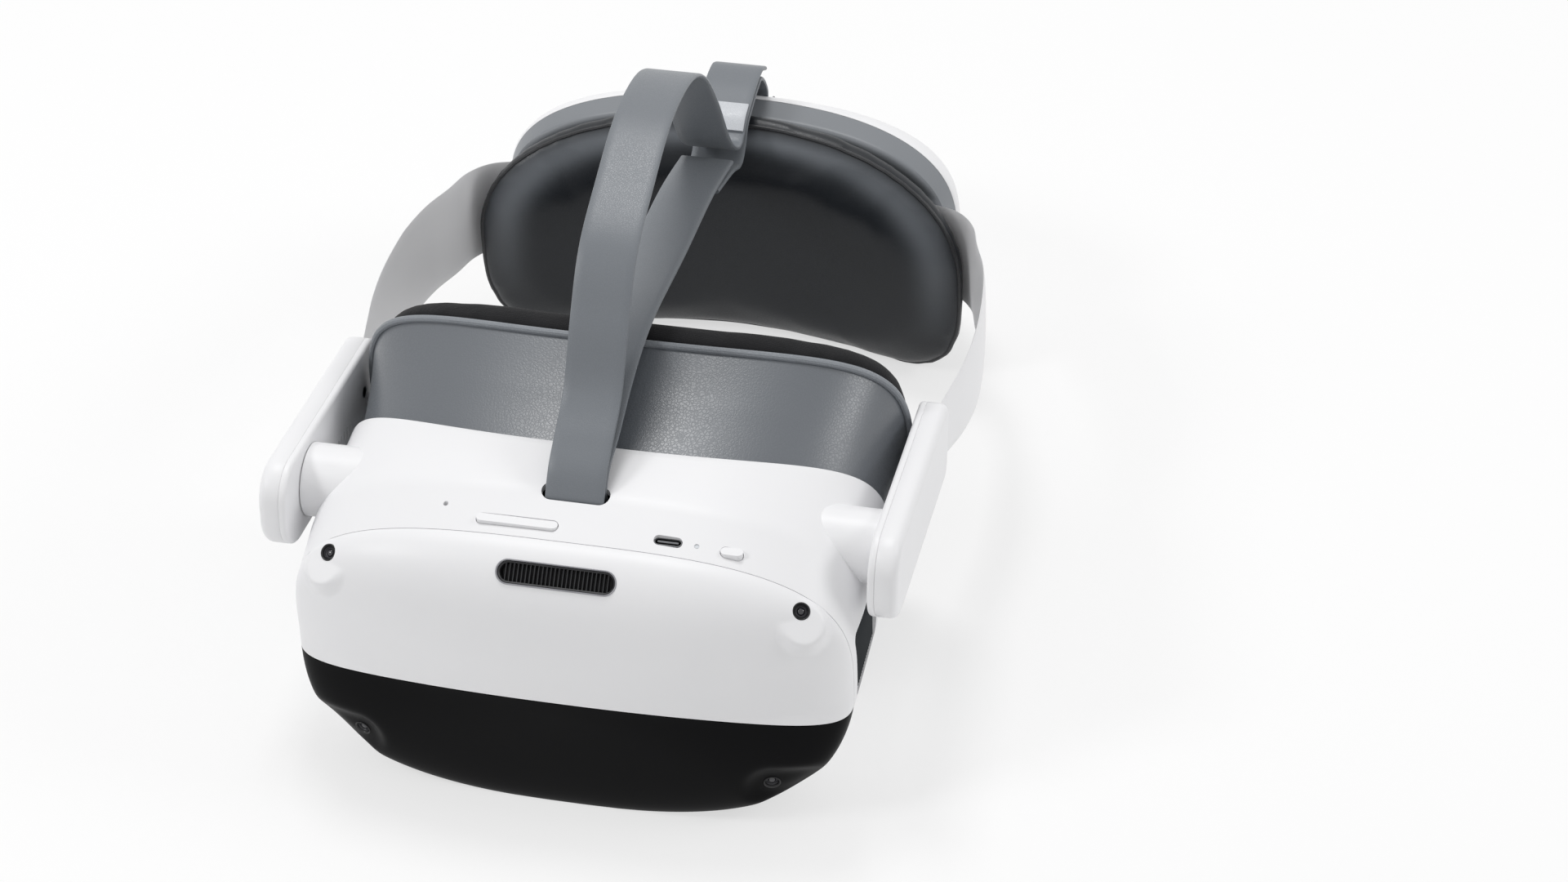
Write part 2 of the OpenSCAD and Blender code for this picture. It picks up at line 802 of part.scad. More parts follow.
// Each lens is a disc with a domed face towards the eye
lens_edge_t = 2.4;
lens_dome = 2.2;
module lens(side) {
    r = lens_d / 2;
    ball = (r * r + lens_dome * lens_dome) / (2 * lens_dome);
    color("#9FB4C8") in_frame() lens_place(side)
        translate([0, 0, barrel_l - lens_seat - lens_edge_t])
            rotate_extrude() intersection() {
                square([r, lens_edge_t + 2 * lens_dome]);
                translate([0, lens_edge_t + lens_dome - ball])
                    circle(r = ball, $fn = 360);
            }
}
module lens_left() { lens(-1); }
module lens_right() { lens(1); }

bezel_t = 1.6;
bezel_gap = 1.6;
bezel_y = barrel_y + barrel_l - 6;
prox_d = 5;
prox_z = lens_z + rail_offset;
module inner_bezel() {
    hole_d = barrel_d + 2;
    color(black) in_frame() difference() {
        upright_plate(bezel_y, bezel_t, bezel_gap);
        for (side = [-1, 1])
            translate([side * lens_spacing / 2, bezel_y + 2 * bezel_t, lens_z])
                rotate([90, 0, 0])
                    linear_extrude(4 * bezel_t)
                        slot_outline(hole_d + 2 * lens_travel, hole_d);
        for (side = [-1, 1])
            side_pivot(side)
                translate([0, 0, hub_in - inner_gap])
                    cylinder(d = hub_d + 2 * inner_gap, h = body_w);
        translate([0, bezel_y - bezel_t, prox_z])
            rotate([-90, 0, 0])
                cylinder(d = prox_d + 2 * running_gap, h = 4 * bezel_t);
    }
}

module proximity_sensor() {
    color("#15161A") in_frame() translate([0, bezel_y - 1, prox_z])
        rotate([-90, 0, 0])
            cylinder(d = prox_d, h = bezel_t + 1.4);
}

// Controls on the top

panel_drop = 6.6;
panel_z = control_top - panel_drop;
panel_w = 7.8;
panel_from = mic_x - 4;
panel_to = power_x + power_l / 2 + 1;
module interface_board() {
    color(green) in_frame()
        translate([panel_from, frame_y, panel_z - board_t])
            cube([panel_to - panel_from, panel_w, board_t]);
}

module usb_port() {
    wall = 0.4;
    color(steel) in_frame() translate([port_x, control_y, panel_z]) {
        linear_extrude(2 * wall)
            slot_outline(port_l, port_w);
        linear_extrude(top_z(port_x) - 0.5 - panel_z) difference() {
            slot_outline(port_l, port_w);
            difference() {
                slot_outline(port_l - 2 * wall, port_w - 2 * wall);
                square([port_l - 6 * wall, 2 * wall], center = true);
            }
        }
    }
}

cap_proud = 0.4;
module button_cap(x, l) {
    foot = panel_z + button_travel + 0.2;
    color(white) in_frame() translate([x, control_y, foot])
        linear_extrude(top_z(abs(x) - l / 2) + cap_proud - foot)
            slot_outline(l, rocker_w);
}
module volume_rocker() { button_cap(rocker_x, rocker_l); }
module power_button() { button_cap(power_x, power_l); }

module status_led() {
    x = port_x + port_l;
    color("#D8DDE2") in_frame() translate([x, control_y, panel_z])
        cylinder(d = led_d - 2 * running_gap, h = top_z(x) - panel_z - 0.2);
}

module microphone() {
    color(dark) in_frame() translate([mic_x, mic_y, panel_z])
        cylinder(d = 3 * mic_d, h = top_z(mic_x) - shell_wall - inner_gap - panel_z);
}

// Face shield and cushion

tuck = 5;
rim_z0 = 4;
// The rim's upper corners are squarer than the housing's
rim_power = 4;
tuck_a = housing_a - shell_wall - inner_gap;
tuck_gap = 2 * inner_gap;
tuck_h = housing_h - shell_wall - tuck_gap - tuck * (housing_h - slot_top) / (housing_depth - strap_slot_y);
tuck_z0 = shell_wall + 2 * tuck_gap;
function shield_ring(y, k, sweep, d) =
    let (a = tuck_a * (1 - k) + rim_a * k)
    let (z1 = tuck_h * (1 - k) + rim_h * k)
    let (z0 = tuck_z0 * (1 - k) + rim_z0 * k)
    body_ring(y, a - d, z0 + d, z1 - d, sweep, nose_rise(y), body_power * (1 - k) + rim_power * k);
module face_shield() {
    depths = [housing_depth - tuck, housing_depth + 1, (housing_depth + rim_depth) / 2, rim_depth];
    shares = [0, 0.02, 0.52, 1];
    sweeps = [housing_sweep, housing_sweep, (housing_sweep + rim_sweep) / 2, rim_sweep];
    outer = [for (k = [0 : 3]) shield_ring(depths[k], shares[k], sweeps[k], 0)];
    inner = [for (k = [3 : -1 : 0]) shield_ring(depths[k], shares[k], sweeps[k], shield_wall)];
    color(grey) in_frame() closed_skin(concat(outer, inner));
}

// The cushion's cross section, as shares of its band and its thickness: drawn-in sides and a crown
cushion_form = [
    [0.08, 0], [0.2, 0.3], [0.32, 0.6], [0.47, 0.88], [0.68, 1], [0.9, 0.85], [1, 0.5], [0.94, 0]
];
module face_cushion() {
    rings = [
        for (f = cushion_form)
            let (y = rim_depth + rim_gap + f[1] * cushion_t)
            shield_ring(y, 1, rim_sweep, f[0] * cushion_band)
    ];
    color(black) in_frame() closed_skin(backwards(rings));
}

// Arms

arm_plate_t = 2.4;
arm_wall = 1.8;
arm_round_front = 12;
arm_round_rear = 6;
speaker_u = 34;
speaker_t = 4;
band_start_h = 24;
arm_screw_u = [18, 56];

// Turns an outline drawn along the arm into the arm's place, at x in from the middle
module arm_place(side, x) {
    mirror([side < 0 ? 1 : 0, 0, 0])
        translate([x, pivot_y, pivot_z])
            rotate([-arm_slope, 0, 0])
                rotate([90, 0, 90])
                    children();
}

module arm_outline(inset) {
    front = -arm_front + inset;
    rear = arm_rear - inset;
    half = arm_h / 2 - inset;
    rf = arm_round_front - inset;
    rr = arm_round_rear - inset;
    for (up = [-1, 1]) {
        translate([front + rf, up * (half - rf)])
            circle(r = rf);
        translate([rear - rr, up * (half - rr)])
            circle(r = rr);
    }
    translate([front + rf, -half])
        square([rear - rr - front - rf, 2 * half]);
    translate([front, rf - half])
        square([arm_round_front, 2 * (half - rf)]);
    translate([rear - arm_round_rear, rr - half])
        square([arm_round_rear, 2 * (half - rr)]);
}

module arm_plate(side) {
    color(white) in_frame() arm_place(side, arm_in) difference() {
        linear_extrude(arm_plate_t)
            arm_outline(0);
        cylinder(d = pivot_pin_d, h = 3 * arm_t, center = true);
        for (u = arm_screw_u)
            translate([u, 0]) {
                cylinder(d = screw_hole_d, h = 3 * arm_t, center = true);
                cylinder(d = screw_head_d + 2 * running_gap, h = 2 * screw_head_t, center = true);
            }
        for (k = [-2 : 2])
            translate([speaker_u + 3 * k, -arm_h / 4, 0])
                cube([1.4, arm_h / 3, 4 * arm_plate_t], center = true);
    }
}
module arm_plate_left() { arm_plate(-1); }
module arm_plate_right() { arm_plate(1); }

arm_cover_t = arm_t - arm_plate_t;
module arm_cover(side) {
    boss_d = 5;
    color(white) in_frame() arm_place(side, arm_in + arm_plate_t) difference() {
        linear_extrude(arm_cover_t)
            arm_outline(0);
        difference() {
            translate([0, 0, -arm_wall])
                linear_extrude(arm_cover_t)
                    arm_outline(arm_wall);
            for (u = arm_screw_u)
                translate([u, 0, -2 * arm_wall])
                    cylinder(d = boss_d, h = 2 * arm_cover_t);
            translate([0, 0, -2 * arm_wall])
                cylinder(d = pivot_pin_d + 4, h = 2 * arm_cover_t);
        }
        translate([0, 0, -arm_wall])
            cylinder(d = pivot_pin_d, h = arm_cover_t);
        for (u = arm_screw_u)
            translate([u, 0, -arm_wall])
                cylinder(d = screw_hole_d, h = arm_cover_t);
        translate([arm_rear, 0, band_seat_w])
            cube([6 * arm_wall, band_start_h + 2 * inner_gap, band_t + 2 * inner_gap], center = true);
    }
}
module arm_cover_left() { arm_cover(-1); }
module arm_cover_right() { arm_cover(1); }

module arm_screws() {
    color(steel) in_frame() for (side = [-1, 1])
        arm_place(side, arm_in)
            for (u = arm_screw_u)
                translate([u, 0]) {
                    cylinder(d = screw_head_d, h = screw_head_t);
                    cylinder(d = screw_d, h = arm_t - 2 * arm_wall);
                }
}

module pivot_pin(side) {
    color(steel) in_frame() arm_place(side, hub_in)
        cylinder(d = pivot_pin_d, h = arm_in + arm_t - 2 * arm_wall - hub_in);
}
module pivot_pin_left() { pivot_pin(-1); }
module pivot_pin_right() { pivot_pin(1); }

module speaker(side) {
    color(dark) in_frame() arm_place(side, arm_in + arm_plate_t)
        translate([speaker_u, 0])
            cylinder(d = speaker_d, h = speaker_t);
}
module speaker_left() { speaker(-1); }
module speaker_right() { speaker(1); }

// Flexible bands

// Depth of the surfaces of the rear housing, which curve forward at the sides
function rear_curve(x) = -rear_sag * pow(x / (pad_w / 2), 2);

// Points that a band runs through, in plan, with its height and its upright middle
band_seat_w = 3;
band_x = arm_in + arm_plate_t + band_seat_w;
arm_end_y = pivot_y + arm_rear * cos(arm_slope);
arm_end_z = pivot_z - arm_rear * sin(arm_slope);
band_root_u = 5;
band_inner_x = 61;
slot_mid = pad_depth + pad_t + band_slot / 2;
pad_side = pad_w / 2;
function slot_point(x) = [x, slot_mid + rear_curve(x)];
band_route = [
    [band_x, arm_end_y - band_root_u],
    [band_x + 0.1, arm_end_y + 3],
    [band_x + band_bow * 0.36, arm_end_y + 14],
    [band_x + band_bow * 0.81, arm_end_y + 29],
    [band_x + band_bow, (arm_end_y + pad_depth) / 2 - 13],
    [band_x + band_bow * 0.8, (arm_end_y + pad_depth) / 2 + 7],
    [band_x + band_bow * 0.3, pad_depth - 35],
    [pad_side + 5.8, pad_depth - 21],
    [pad_side + 2.3, pad_depth - 9],
    slot_point(pad_side - 4.5),
    slot_point((pad_side + band_inner_x) / 2 - 1),
    slot_point(band_inner_x)
];
// A smooth curve through the points p, at t from 0 to len(p) - 1
function along(p, t) =
    let (n = len(p) - 1)
    let (i = min(floor(t), n - 1))
    let (f = t - i)
    let (a = p[max(i - 1, 0)], b = p[i], c = p[i + 1], d = p[min(i + 2, n)])
    0.5 * (2 * b + (c - a) * f + (2 * a - 5 * b + 4 * c - d) * f * f + (3 * b - a - 3 * c + d) * f * f * f);
function heading(p, t) =
    let (v = along(p, min(t + 0.05, len(p) - 1)) - along(p, max(t - 0.05, 0)))
    v / norm(v);

band_steps = 44;
function band_z(s) = arm_end_z * pow(1 - s, 1.6) + dial_z * (1 - pow(1 - s, 1.6));
function band_half(s) = (band_start_h + (band_h - band_start_h) * min(1, max(0, s - 0.12) * 3)) / 2;
function band_grid(offset) = [
    for (up = [-1, 1])
        [for (k = [0 : band_steps])
            let (s = k / band_steps, t = s * (len(band_route) - 1))
            let (p = along(band_route, t), h = heading(band_route, t))
            [p[0] + offset * h[1], p[1] - offset * h[0], band_z(s) + up * band_half(s)]]
];
module band(side) {
    color(white) in_frame() mirror([side < 0 ? 1 : 0, 0, 0])
        slab(band_grid(band_t / 2), band_grid(-band_t / 2));
}
module band_left() { band(-1); }
module band_right() { band(1); }

// Rear housing

pad_mid = 44;
pad_top_b = pad_h - pad_mid;
// The lobes' outline runs under the table line, which cuts it flat
pad_low_b = 50;
pad_power = 2.5;
lobe_power = 3.8;
// The housing behind the pad is a little lower, with squarer upper corners
rear_top_b = pad_top_b - 2;
rear_power = 3.5;
// A ring round the rear housing: share k of the pad's outline, drawn in by d, at depth y
// at the middle, with its top lowered by fall
function rear_ring(y, k, d, fall = 0) =
    outline_ring(y, k, d, fall, rear_top_b, rear_power);
function outline_ring(y, k, d, fall, top_b, top_power) = [
    for (i = [0 : RING - 1])
        let (t = 360 * i / RING)
        let (up = sin(t) >= 0)
        let (b = (up ? top_b : pad_low_b) * k - d)
        let (r = squared_r(t, pad_side * k - d, b, up ? top_power : lobe_power))
        let (x = r * cos(t))
        let (arch = pad_arch * max(0, 1 - pow(x / (0.8 * pad_side), 2)))
        [x, y + rear_curve(x), max(0, pad_mid + r * sin(t) - k * (up ? fall : arch) * sin(t))]
];

// The pad's cross section, as shares of its outline and of its thickness
pad_form = [
    [0.05, 0], [0.3, 0.01], [0.55, 0.03], [0.78, 0.08], [0.9, 0.17], [0.965, 0.35], [0.985, 0.6],
    [0.975, 0.82], [0.945, 1], [0.72, 1], [0.5, 1], [0.25, 1], [0.05, 1]
];
module rear_pad() {
    color(pad_grey) in_frame()
        capped_skin([for (f = pad_form)
            outline_ring(pad_depth + f[1] * pad_t, f[0], 0, 0, pad_top_b, pad_power)]);
}

pad_plate_w = 84;
pad_plate_h = 54;
module pad_plate() {
    steps = 10;
    y0 = pad_depth + pad_t + rim_gap / 3;
    y1 = cover_y - inner_gap;
    front = [for (k = [-steps : steps]) let (x = k * pad_plate_w / 2 / steps) [x, y0 + rear_curve(x)]];
    back = [for (k = [steps : -1 : -steps]) let (x = k * pad_plate_w / 2 / steps) [x, y1 + rear_curve(x)]];
    color(dark) in_frame() translate([0, 0, dial_z - pad_plate_h / 2])
        linear_extrude(pad_plate_h)
            polygon(concat(front, back));
}

// The grey cover is a shallow cup whose floor faces the pad
cover_k = 0.91;
link_slot_h = 30;
floor_k = cover_k - 0.03;
cover_floor = [0.05, 0.25, 0.5, 0.72, floor_k];
cover_lip = 2;
module rear_cover() {
    outer = concat(
        [for (k = cover_floor) rear_ring(cover_y, k, 0)],
        [rear_ring(cover_y + cover_lip, cover_k, 0), rear_ring(shell_y - seam_gap, rear_k, 0)]
    );
    inner = concat(
        [for (k = cover_floor) rear_ring(cover_y + rear_wall, k, k == floor_k ? rear_wall : 0)],
        [rear_ring(cover_y + cover_lip + rear_wall, cover_k, rear_wall),
         rear_ring(shell_y - seam_gap, rear_k, rear_wall)]
    );
    color(grey) in_frame() difference() {
        capped_skin(concat(outer, backwards(inner)));
        for (side = [-1, 1])
            translate([side * link_slot_x, cover_y + rear_curve(link_slot_x), dial_z])
                cube([link_slot_w, 12 * rear_wall, link_slot_h], center = true);
    }
}

// The white shell is a deeper cup, open to the front
rear_k = 0.925;
shell_form = [
    [1, 0], [1.005, 0.15], [0.99, 0.55], [0.95, 0.85], [0.88, 1], [0.7, 1], [0.5, 1], [0.25, 1], [0.05, 1]
];
function shell_rings(d) = [
    for (f = shell_form)
        let (y = shell_y + f[1] * rear_shell_depth - (f[1] > 0.5 ? d * f[1] : 0))
        rear_ring(y, rear_k * f[0], f[0] > 0.8 ? d : 0, fall_at(f[1]))
];
// The top falls faster and faster; the strap's slot is cut where it still lies high
function fall_at(share) = shell_fall * pow(share, 1.5);
rear_slot_y = shell_y + 7.5;
rear_top = pad_mid + rear_k * (rear_top_b - fall_at((rear_slot_y - shell_y) / rear_shell_depth));
rear_bar_drop = 9;
rear_bar_z = rear_top - rear_bar_drop;
module rear_shell() {
    outer = shell_rings(0);
    inner = shell_rings(rear_wall);
    color(white) in_frame() difference() {
        capped_skin(concat(backwards(inner), outer));
        translate([0, back_y, dial_z])
            rotate([90, 0, 0])
                cylinder(d = shaft_d + 2 * running_gap, h = 4 * rear_wall, center = true);
        translate([0, rear_slot_y, rear_top - cut_h / 2])
            linear_extrude(2 * cut_h)
                slot_outline(strap_slot_l, strap_slot_w);
    }
}

module rear_strap_bar() {
    color(dark) in_frame() translate([0, rear_slot_y, rear_bar_z])
        strap_bar(rear_bar_drop - rear_wall - inner_gap - 1.7 * strap_bar_d);
}

// Two battery cells low in the lobes, two above the racks, and their board between these
cell_x = 22;
cell_l = 36;
cell_t = 11;
cell_low_h = 18;
cell_low_z = 17;
cell_high_h = 11.5;
cell_high_z = 65;
cell_y = cover_y + rear_wall + rear_curve(cell_x) + inner_gap;
module battery_cells() {
    rows = [[cell_low_z, cell_low_h], [cell_high_z, cell_high_h]];
    color("#3E5C86") in_frame() for (side = [-1, 1], row = rows)
        translate([side * (cell_x + cell_l / 2), cell_y + cell_t / 2, row[0] + row[1] / 2])
            cube([cell_l, cell_t, row[1]], center = true);
}

battery_board_w = 40;
battery_board_h = 14;
module battery_board() {
    color(green) in_frame()
        translate([-battery_board_w / 2, cover_y + rear_wall + inner_gap, cell_high_z])
            cube([battery_board_w, board_t, battery_board_h]);
}

// Dial, pinion and racks

pitch_r = gear_module * pinion_teeth / 2;
pressure = 20;
base_r = pitch_r * cos(pressure);
addendum = 0.8 * gear_module;
dedendum = 1.1 * gear_module;
backlash = 0.16;
tooth_pitch = PI * gear_module;
// Angle that an involute has turned through at radius r
function involute(r) = let (a = acos(min(1, base_r / r))) tan(a) * 180 / PI - a;
half_tooth = 90 / pinion_teeth - backlash / 4 / pitch_r * 180 / PI;
function flank(r) = half_tooth + involute(pitch_r) - involute(max(r, base_r));
tooth_radii = [pitch_r - dedendum, base_r, pitch_r, pitch_r + addendum / 2, pitch_r + addendum];
function pinion_points() = [
    for (k = [0 : pinion_teeth - 1])
        let (middle_angle = 90 + k * 360 / pinion_teeth)
        each concat(
            [for (r = tooth_radii) r * [cos(middle_angle - flank(r)), sin(middle_angle - flank(r))]],
            [for (i = [4 : -1 : 0]) let (r = tooth_radii[i])
                r * [cos(middle_angle + flank(r)), sin(middle_angle + flank(r))]]
        )
];

gear_gap = 0.3;
guide_t = 1.6;
guide_y = cover_y + rear_wall + gear_gap / 3;
rack_t = 4;
rack_y = guide_y + guide_t + gear_gap;
rack_body = 4;
pinion_t = rack_t + 1;
pinion_y = rack_y - 0.1;
journal_d = shaft_d - 2;
module dial_shaft() {
    color(steel) in_frame() translate([0, 0, dial_z]) {
        translate([0, pinion_y + pinion_t, 0])
            rotate([90, 0, 0])
                linear_extrude(pinion_t)
                    polygon(pinion_points());
        translate([0, guide_y, 0])
            rotate([-90, 0, 0])
                cylinder(d = journal_d, h = pinion_y - guide_y);
        translate([0, pinion_y + pinion_t, 0])
            rotate([-90, 0, 0])
                cylinder(d = shaft_d, h = dial_y + dial_t / 2 - pinion_y - pinion_t);
    }
}

module dial_knob() {
    grip_d = 2.4;
    color(grey) in_frame() translate([0, dial_y, dial_z]) rotate([-90, 0, 0]) difference() {
        cylinder(d = dial_d, h = dial_t);
        for (k = [0 : dial_grips - 1])
            rotate([0, 0, k * 360 / dial_grips])
                translate([dial_d / 2 + grip_d / 4, 0, dial_t / 4])
                    cylinder(d = grip_d, h = dial_t);
        translate([0, 0, -1])
            cylinder(d = shaft_d, h = dial_t / 2 + 1);
    }
}

// Racks: the right one runs over the pinion and the left one under it
rack_tail = 30;
rack_end = rack_l - rack_tail;
rack_leg = 4;
link_slot_w = slide_out + slide_in + rack_leg + 3;
link_slot_x = rack_end - rack_leg / 2 + (slide_out - slide_in) / 2;
leg_front = slot_mid + rear_curve(band_inner_x) + band_t / 2 + gear_gap;
rack_teeth = floor((rack_l - 8) / tooth_pitch);
module rack_outline() {
    tip = tooth_pitch / 4 - backlash / 4 - addendum * tan(pressure);
    foot = tooth_pitch / 4 - backlash / 4 + dedendum * tan(pressure);
    first = -floor((rack_tail - 4) / tooth_pitch);
    translate([-rack_tail, dedendum])
        square([rack_l, rack_body]);
    for (k = [first : first + rack_teeth - 1])
        translate([(k + 0.5) * tooth_pitch, 0])
            polygon([[-foot, dedendum + 0.1], [-tip, -addendum], [tip, -addendum], [foot, dedendum + 0.1]]);
}
module rack() {
    translate([0, rack_y + rack_t, 0])
        rotate([90, 0, 0])
            linear_extrude(rack_t)
                translate([0, pitch_r])
                    rack_outline();
    translate([rack_end - rack_leg, leg_front, pitch_r + dedendum])
        cube([rack_leg, rack_y + rack_t - leg_front, rack_body]);
}
module rack_right() {
    color(dark) in_frame() translate([0, 0, dial_z])
        rack();
}
module rack_left() {
    color(dark) in_frame() translate([0, 0, dial_z])
        rotate([0, 180, 0])
            rack();
}

// The guide holds the racks on the pinion
guide_l = 64;
rail_h = 3;
module rack_guide() {
    reach = pitch_r + dedendum + rack_body + gear_gap;
    color(black) in_frame() difference() {
        union() {
            translate([-guide_l / 2, guide_y, dial_z - reach - rail_h])
                cube([guide_l, guide_t, 2 * (reach + rail_h)]);
            for (up = [0, 1])
                translate([-guide_l / 2, guide_y, dial_z + (up == 1 ? reach : -reach - rail_h)])
                    cube([guide_l, guide_t + gear_gap + rack_t, rail_h]);
        }
        translate([0, guide_y - 1, dial_z])
            rotate([-90, 0, 0])
                cylinder(d = journal_d + 2 * running_gap, h = 3 * guide_t);
    }
}

// Straps

// A strip of thickness t along points of the middle plane, as wide as the straps
strip_steps = 3;
function strip_side(p, offset) = [
    for (k = [0 : strip_steps * (len(p) - 1)])
        let (t = k / strip_steps, h = heading(p, t))
        along(p, t) + offset * [-h[1], h[0]]
];
module strip(points, t) {
    rotate([90, 0, 90])
        linear_extrude(strap_w, center = true)
            polygon(concat(strip_side(points, t / 2), backwards(strip_side(points, -t / 2))));
}

// A place along the straps: share s of the way from the front slot to the rear pad,
// at a height h above the top of the housing, as a share of the arch
function over_head(s, h) = [strap_slot_y + s * (pad_depth - strap_slot_y), housing_h + h * strap_arch];
// A place near the rear slot, as offsets from the top of the rear pad's front
function over_pad(y, z) = [pad_depth + y, pad_h + z];

// Offset of the strap's middle from the slot's middle, and the depth at which it is reached
slot_side = bar_loop - inner_gap;
slot_in = shell_wall + inner_gap;
// Points round the underside of a bar at y and z, from its front to its rear
function under_bar(y, z) = [for (t = [0 : 45 : 180]) [y - bar_loop * cos(t), z - bar_loop * sin(t)]];
// The strap lies over the rear strap's arch, dips before the pad, arches forward over the
// head to the front slot, goes round the bar there and runs straight back
front_strap_run = concat(
    [over_pad(36, 4), over_pad(30, 7.3), over_pad(21, 7.8), over_pad(11.5, 6.4), over_pad(3, 4.6),
     over_pad(-2.4, 1.4), over_pad(-7, 0.2), over_pad(-13, 3.2), over_pad(-23, 14),
     over_head(0.813, 0.49), over_head(0.734, 0.8), over_head(0.64, 0.96), over_head(0.512, 1),
     over_head(0.379, 0.9), over_head(0.266, 0.77), over_head(0.192, 0.53), over_head(0.128, 0.26),
     over_head(0.06, 0.135), over_head(0.02, 0.06), [strap_slot_y - slot_side / 2, slot_top],
     [strap_slot_y - slot_side, slot_top - slot_in]],
    under_bar(strap_slot_y, strap_bar_z),
    [[strap_slot_y + slot_side, slot_top - slot_in], [strap_slot_y + slot_side, slot_top + strap_t / 2],
     over_head(0.04, 0.05), over_head(0.1, 0.09), over_head(0.18, 0.17), over_head(0.27, 0.22),
     over_head(0.37, 0.21), over_head(0.55, 0.12), over_head(0.75, 0.04), over_pad(-20, 2)]
);
module front_strap() {
    color(strap_grey) in_frame()
        strip(front_strap_run, strap_t);
}

rear_strap_run = concat(
    [over_head(0.79, -0.02), over_pad(-20, -2), over_pad(-8, -7.5), over_pad(-1, -4.5), over_pad(4, 1),
     over_pad(12, 3.2), over_pad(21, 4.8), over_pad(29, 4.2), [rear_slot_y - slot_side / 2, rear_top + 4],
     [rear_slot_y - slot_side, rear_top - slot_in]],
    under_bar(rear_slot_y, rear_bar_z),
    [[rear_slot_y + bar_loop, rear_bar_z + strap_bar_d / 4]]
);
module rear_strap() {
    color(strap_grey) in_frame()
        strip(rear_strap_run, strap_t);
}

// A light patch that grips the strap's end where it climbs from the dip
patch_t = 0.8;
hook_patch_run = [over_pad(-2.32, 2.88), over_pad(2.56, 5.81), over_pad(8.11, 7.12)];
module hook_patch() {
    color("#C9CDD2") in_frame()
        strip(hook_patch_run, patch_t);
}

front_cover();
lower_visor();
main_housing();
vent_grille();
camera_modules();
camera_lenses();
side_intakes();
pivot_hub_left();
pivot_hub_right();
front_strap_bar();
optics_frame();
mainboard();
frame_screws();
heat_sink();
fan_housing();
fan_pin();
fan_rotor();
display_panel();
ipd_rails();
lens_barrel_left();
lens_barrel_right();
lens_left();
lens_right();
inner_bezel();
proximity_sensor();
interface_board();
usb_port();
volume_rocker();
power_button();
status_led();
microphone();
face_shield();
face_cushion();
arm_plate_left();
arm_plate_right();
arm_cover_left();
arm_cover_right();
arm_screws();
pivot_pin_left();
pivot_pin_right();
speaker_left();
speaker_right();
band_left();
band_right();
rear_pad();
pad_plate();
rear_cover();
rear_shell();
rear_strap_bar();
battery_cells();
battery_board();
dial_shaft();
dial_knob();
rack_left();
rack_right();
rack_guide();
front_strap();
rear_strap();
hook_patch();
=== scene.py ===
import math

import bmesh
import bpy
import numpy as np
from mathutils import Matrix, Vector


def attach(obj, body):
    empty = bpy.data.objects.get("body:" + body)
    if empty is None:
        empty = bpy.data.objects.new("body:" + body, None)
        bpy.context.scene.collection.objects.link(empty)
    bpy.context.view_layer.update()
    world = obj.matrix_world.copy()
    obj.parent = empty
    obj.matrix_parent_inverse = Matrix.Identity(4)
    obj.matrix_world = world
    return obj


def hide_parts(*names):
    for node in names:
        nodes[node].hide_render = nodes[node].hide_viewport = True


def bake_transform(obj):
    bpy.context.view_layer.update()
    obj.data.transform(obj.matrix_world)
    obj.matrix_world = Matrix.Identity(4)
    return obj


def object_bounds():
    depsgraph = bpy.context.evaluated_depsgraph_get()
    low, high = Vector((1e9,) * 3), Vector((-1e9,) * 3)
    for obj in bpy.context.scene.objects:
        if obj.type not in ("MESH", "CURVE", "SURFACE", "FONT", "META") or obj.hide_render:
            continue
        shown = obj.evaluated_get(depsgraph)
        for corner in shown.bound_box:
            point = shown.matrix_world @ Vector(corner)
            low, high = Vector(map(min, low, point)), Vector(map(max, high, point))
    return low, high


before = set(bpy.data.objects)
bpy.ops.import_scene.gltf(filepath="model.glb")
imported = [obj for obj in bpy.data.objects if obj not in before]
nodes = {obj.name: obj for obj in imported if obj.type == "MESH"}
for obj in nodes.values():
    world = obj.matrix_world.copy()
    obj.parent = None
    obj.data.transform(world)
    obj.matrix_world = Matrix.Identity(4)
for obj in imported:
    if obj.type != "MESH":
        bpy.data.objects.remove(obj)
cad_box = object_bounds()

# Studio: the headset stands on a pale seamless floor in an even room, under three soft
# lamps, seen from above its front right corner through a long lens.
MM = 0.001
scene = bpy.context.scene
scene.view_settings.view_transform = "Standard"
# Pieces are drawn in millimetres, with depth counted from the front of the visor
front_depth = cad_box[0][1] / MM


class Wire:
    """One socket of a shader tree; sums and products of wires add Math nodes."""

    def __init__(self, tree, socket=None):
        self.tree = tree
        self.socket = socket

    def node(self, kind, settings, links, output=0):
        made = self.tree.nodes.new(kind)
        for name, value in settings.items():
            setattr(made, name, value)
        for key, value in links.items():
            if isinstance(key, int):
                socket = made.inputs[key]
            else:
                socket = next(s for s in made.inputs if key in (s.identifier, s.name))
            if isinstance(value, Wire):
                self.tree.links.new(value.socket, socket)
            else:
                socket.default_value = value
        return Wire(self.tree, made.outputs[output] if made.outputs else None)

    def math(self, operation, *values):
        return self.node("ShaderNodeMath", {"operation": operation}, dict(enumerate(values)))

    def __add__(self, other):
        return self.math("ADD", self, other)

    def __rsub__(self, other):
        return self.math("SUBTRACT", other, self)

    def __mul__(self, other):
        return self.math("MULTIPLY", self, other)

    def blend_colours(self, first, second):
        """Mix two colours, with this wire as the share of the second."""
        links = {"Factor_Float": self, "A_Color": first, "B_Color": second}
        return self.node("ShaderNodeMix", {"data_type": "RGBA"}, links, 2)


def seen_directly(wire):
    """1 for rays that show the background: to the camera, in a mirror or through glass."""
    camera_ray, glossy_ray, through_ray = (
        wire.node("ShaderNodeLightPath", {}, {}, f"Is {kind} Ray")
        for kind in ("Camera", "Glossy", "Transmission"))
    total = camera_ray + glossy_ray + through_ray
    return total.math("MINIMUM", total, 1.0)


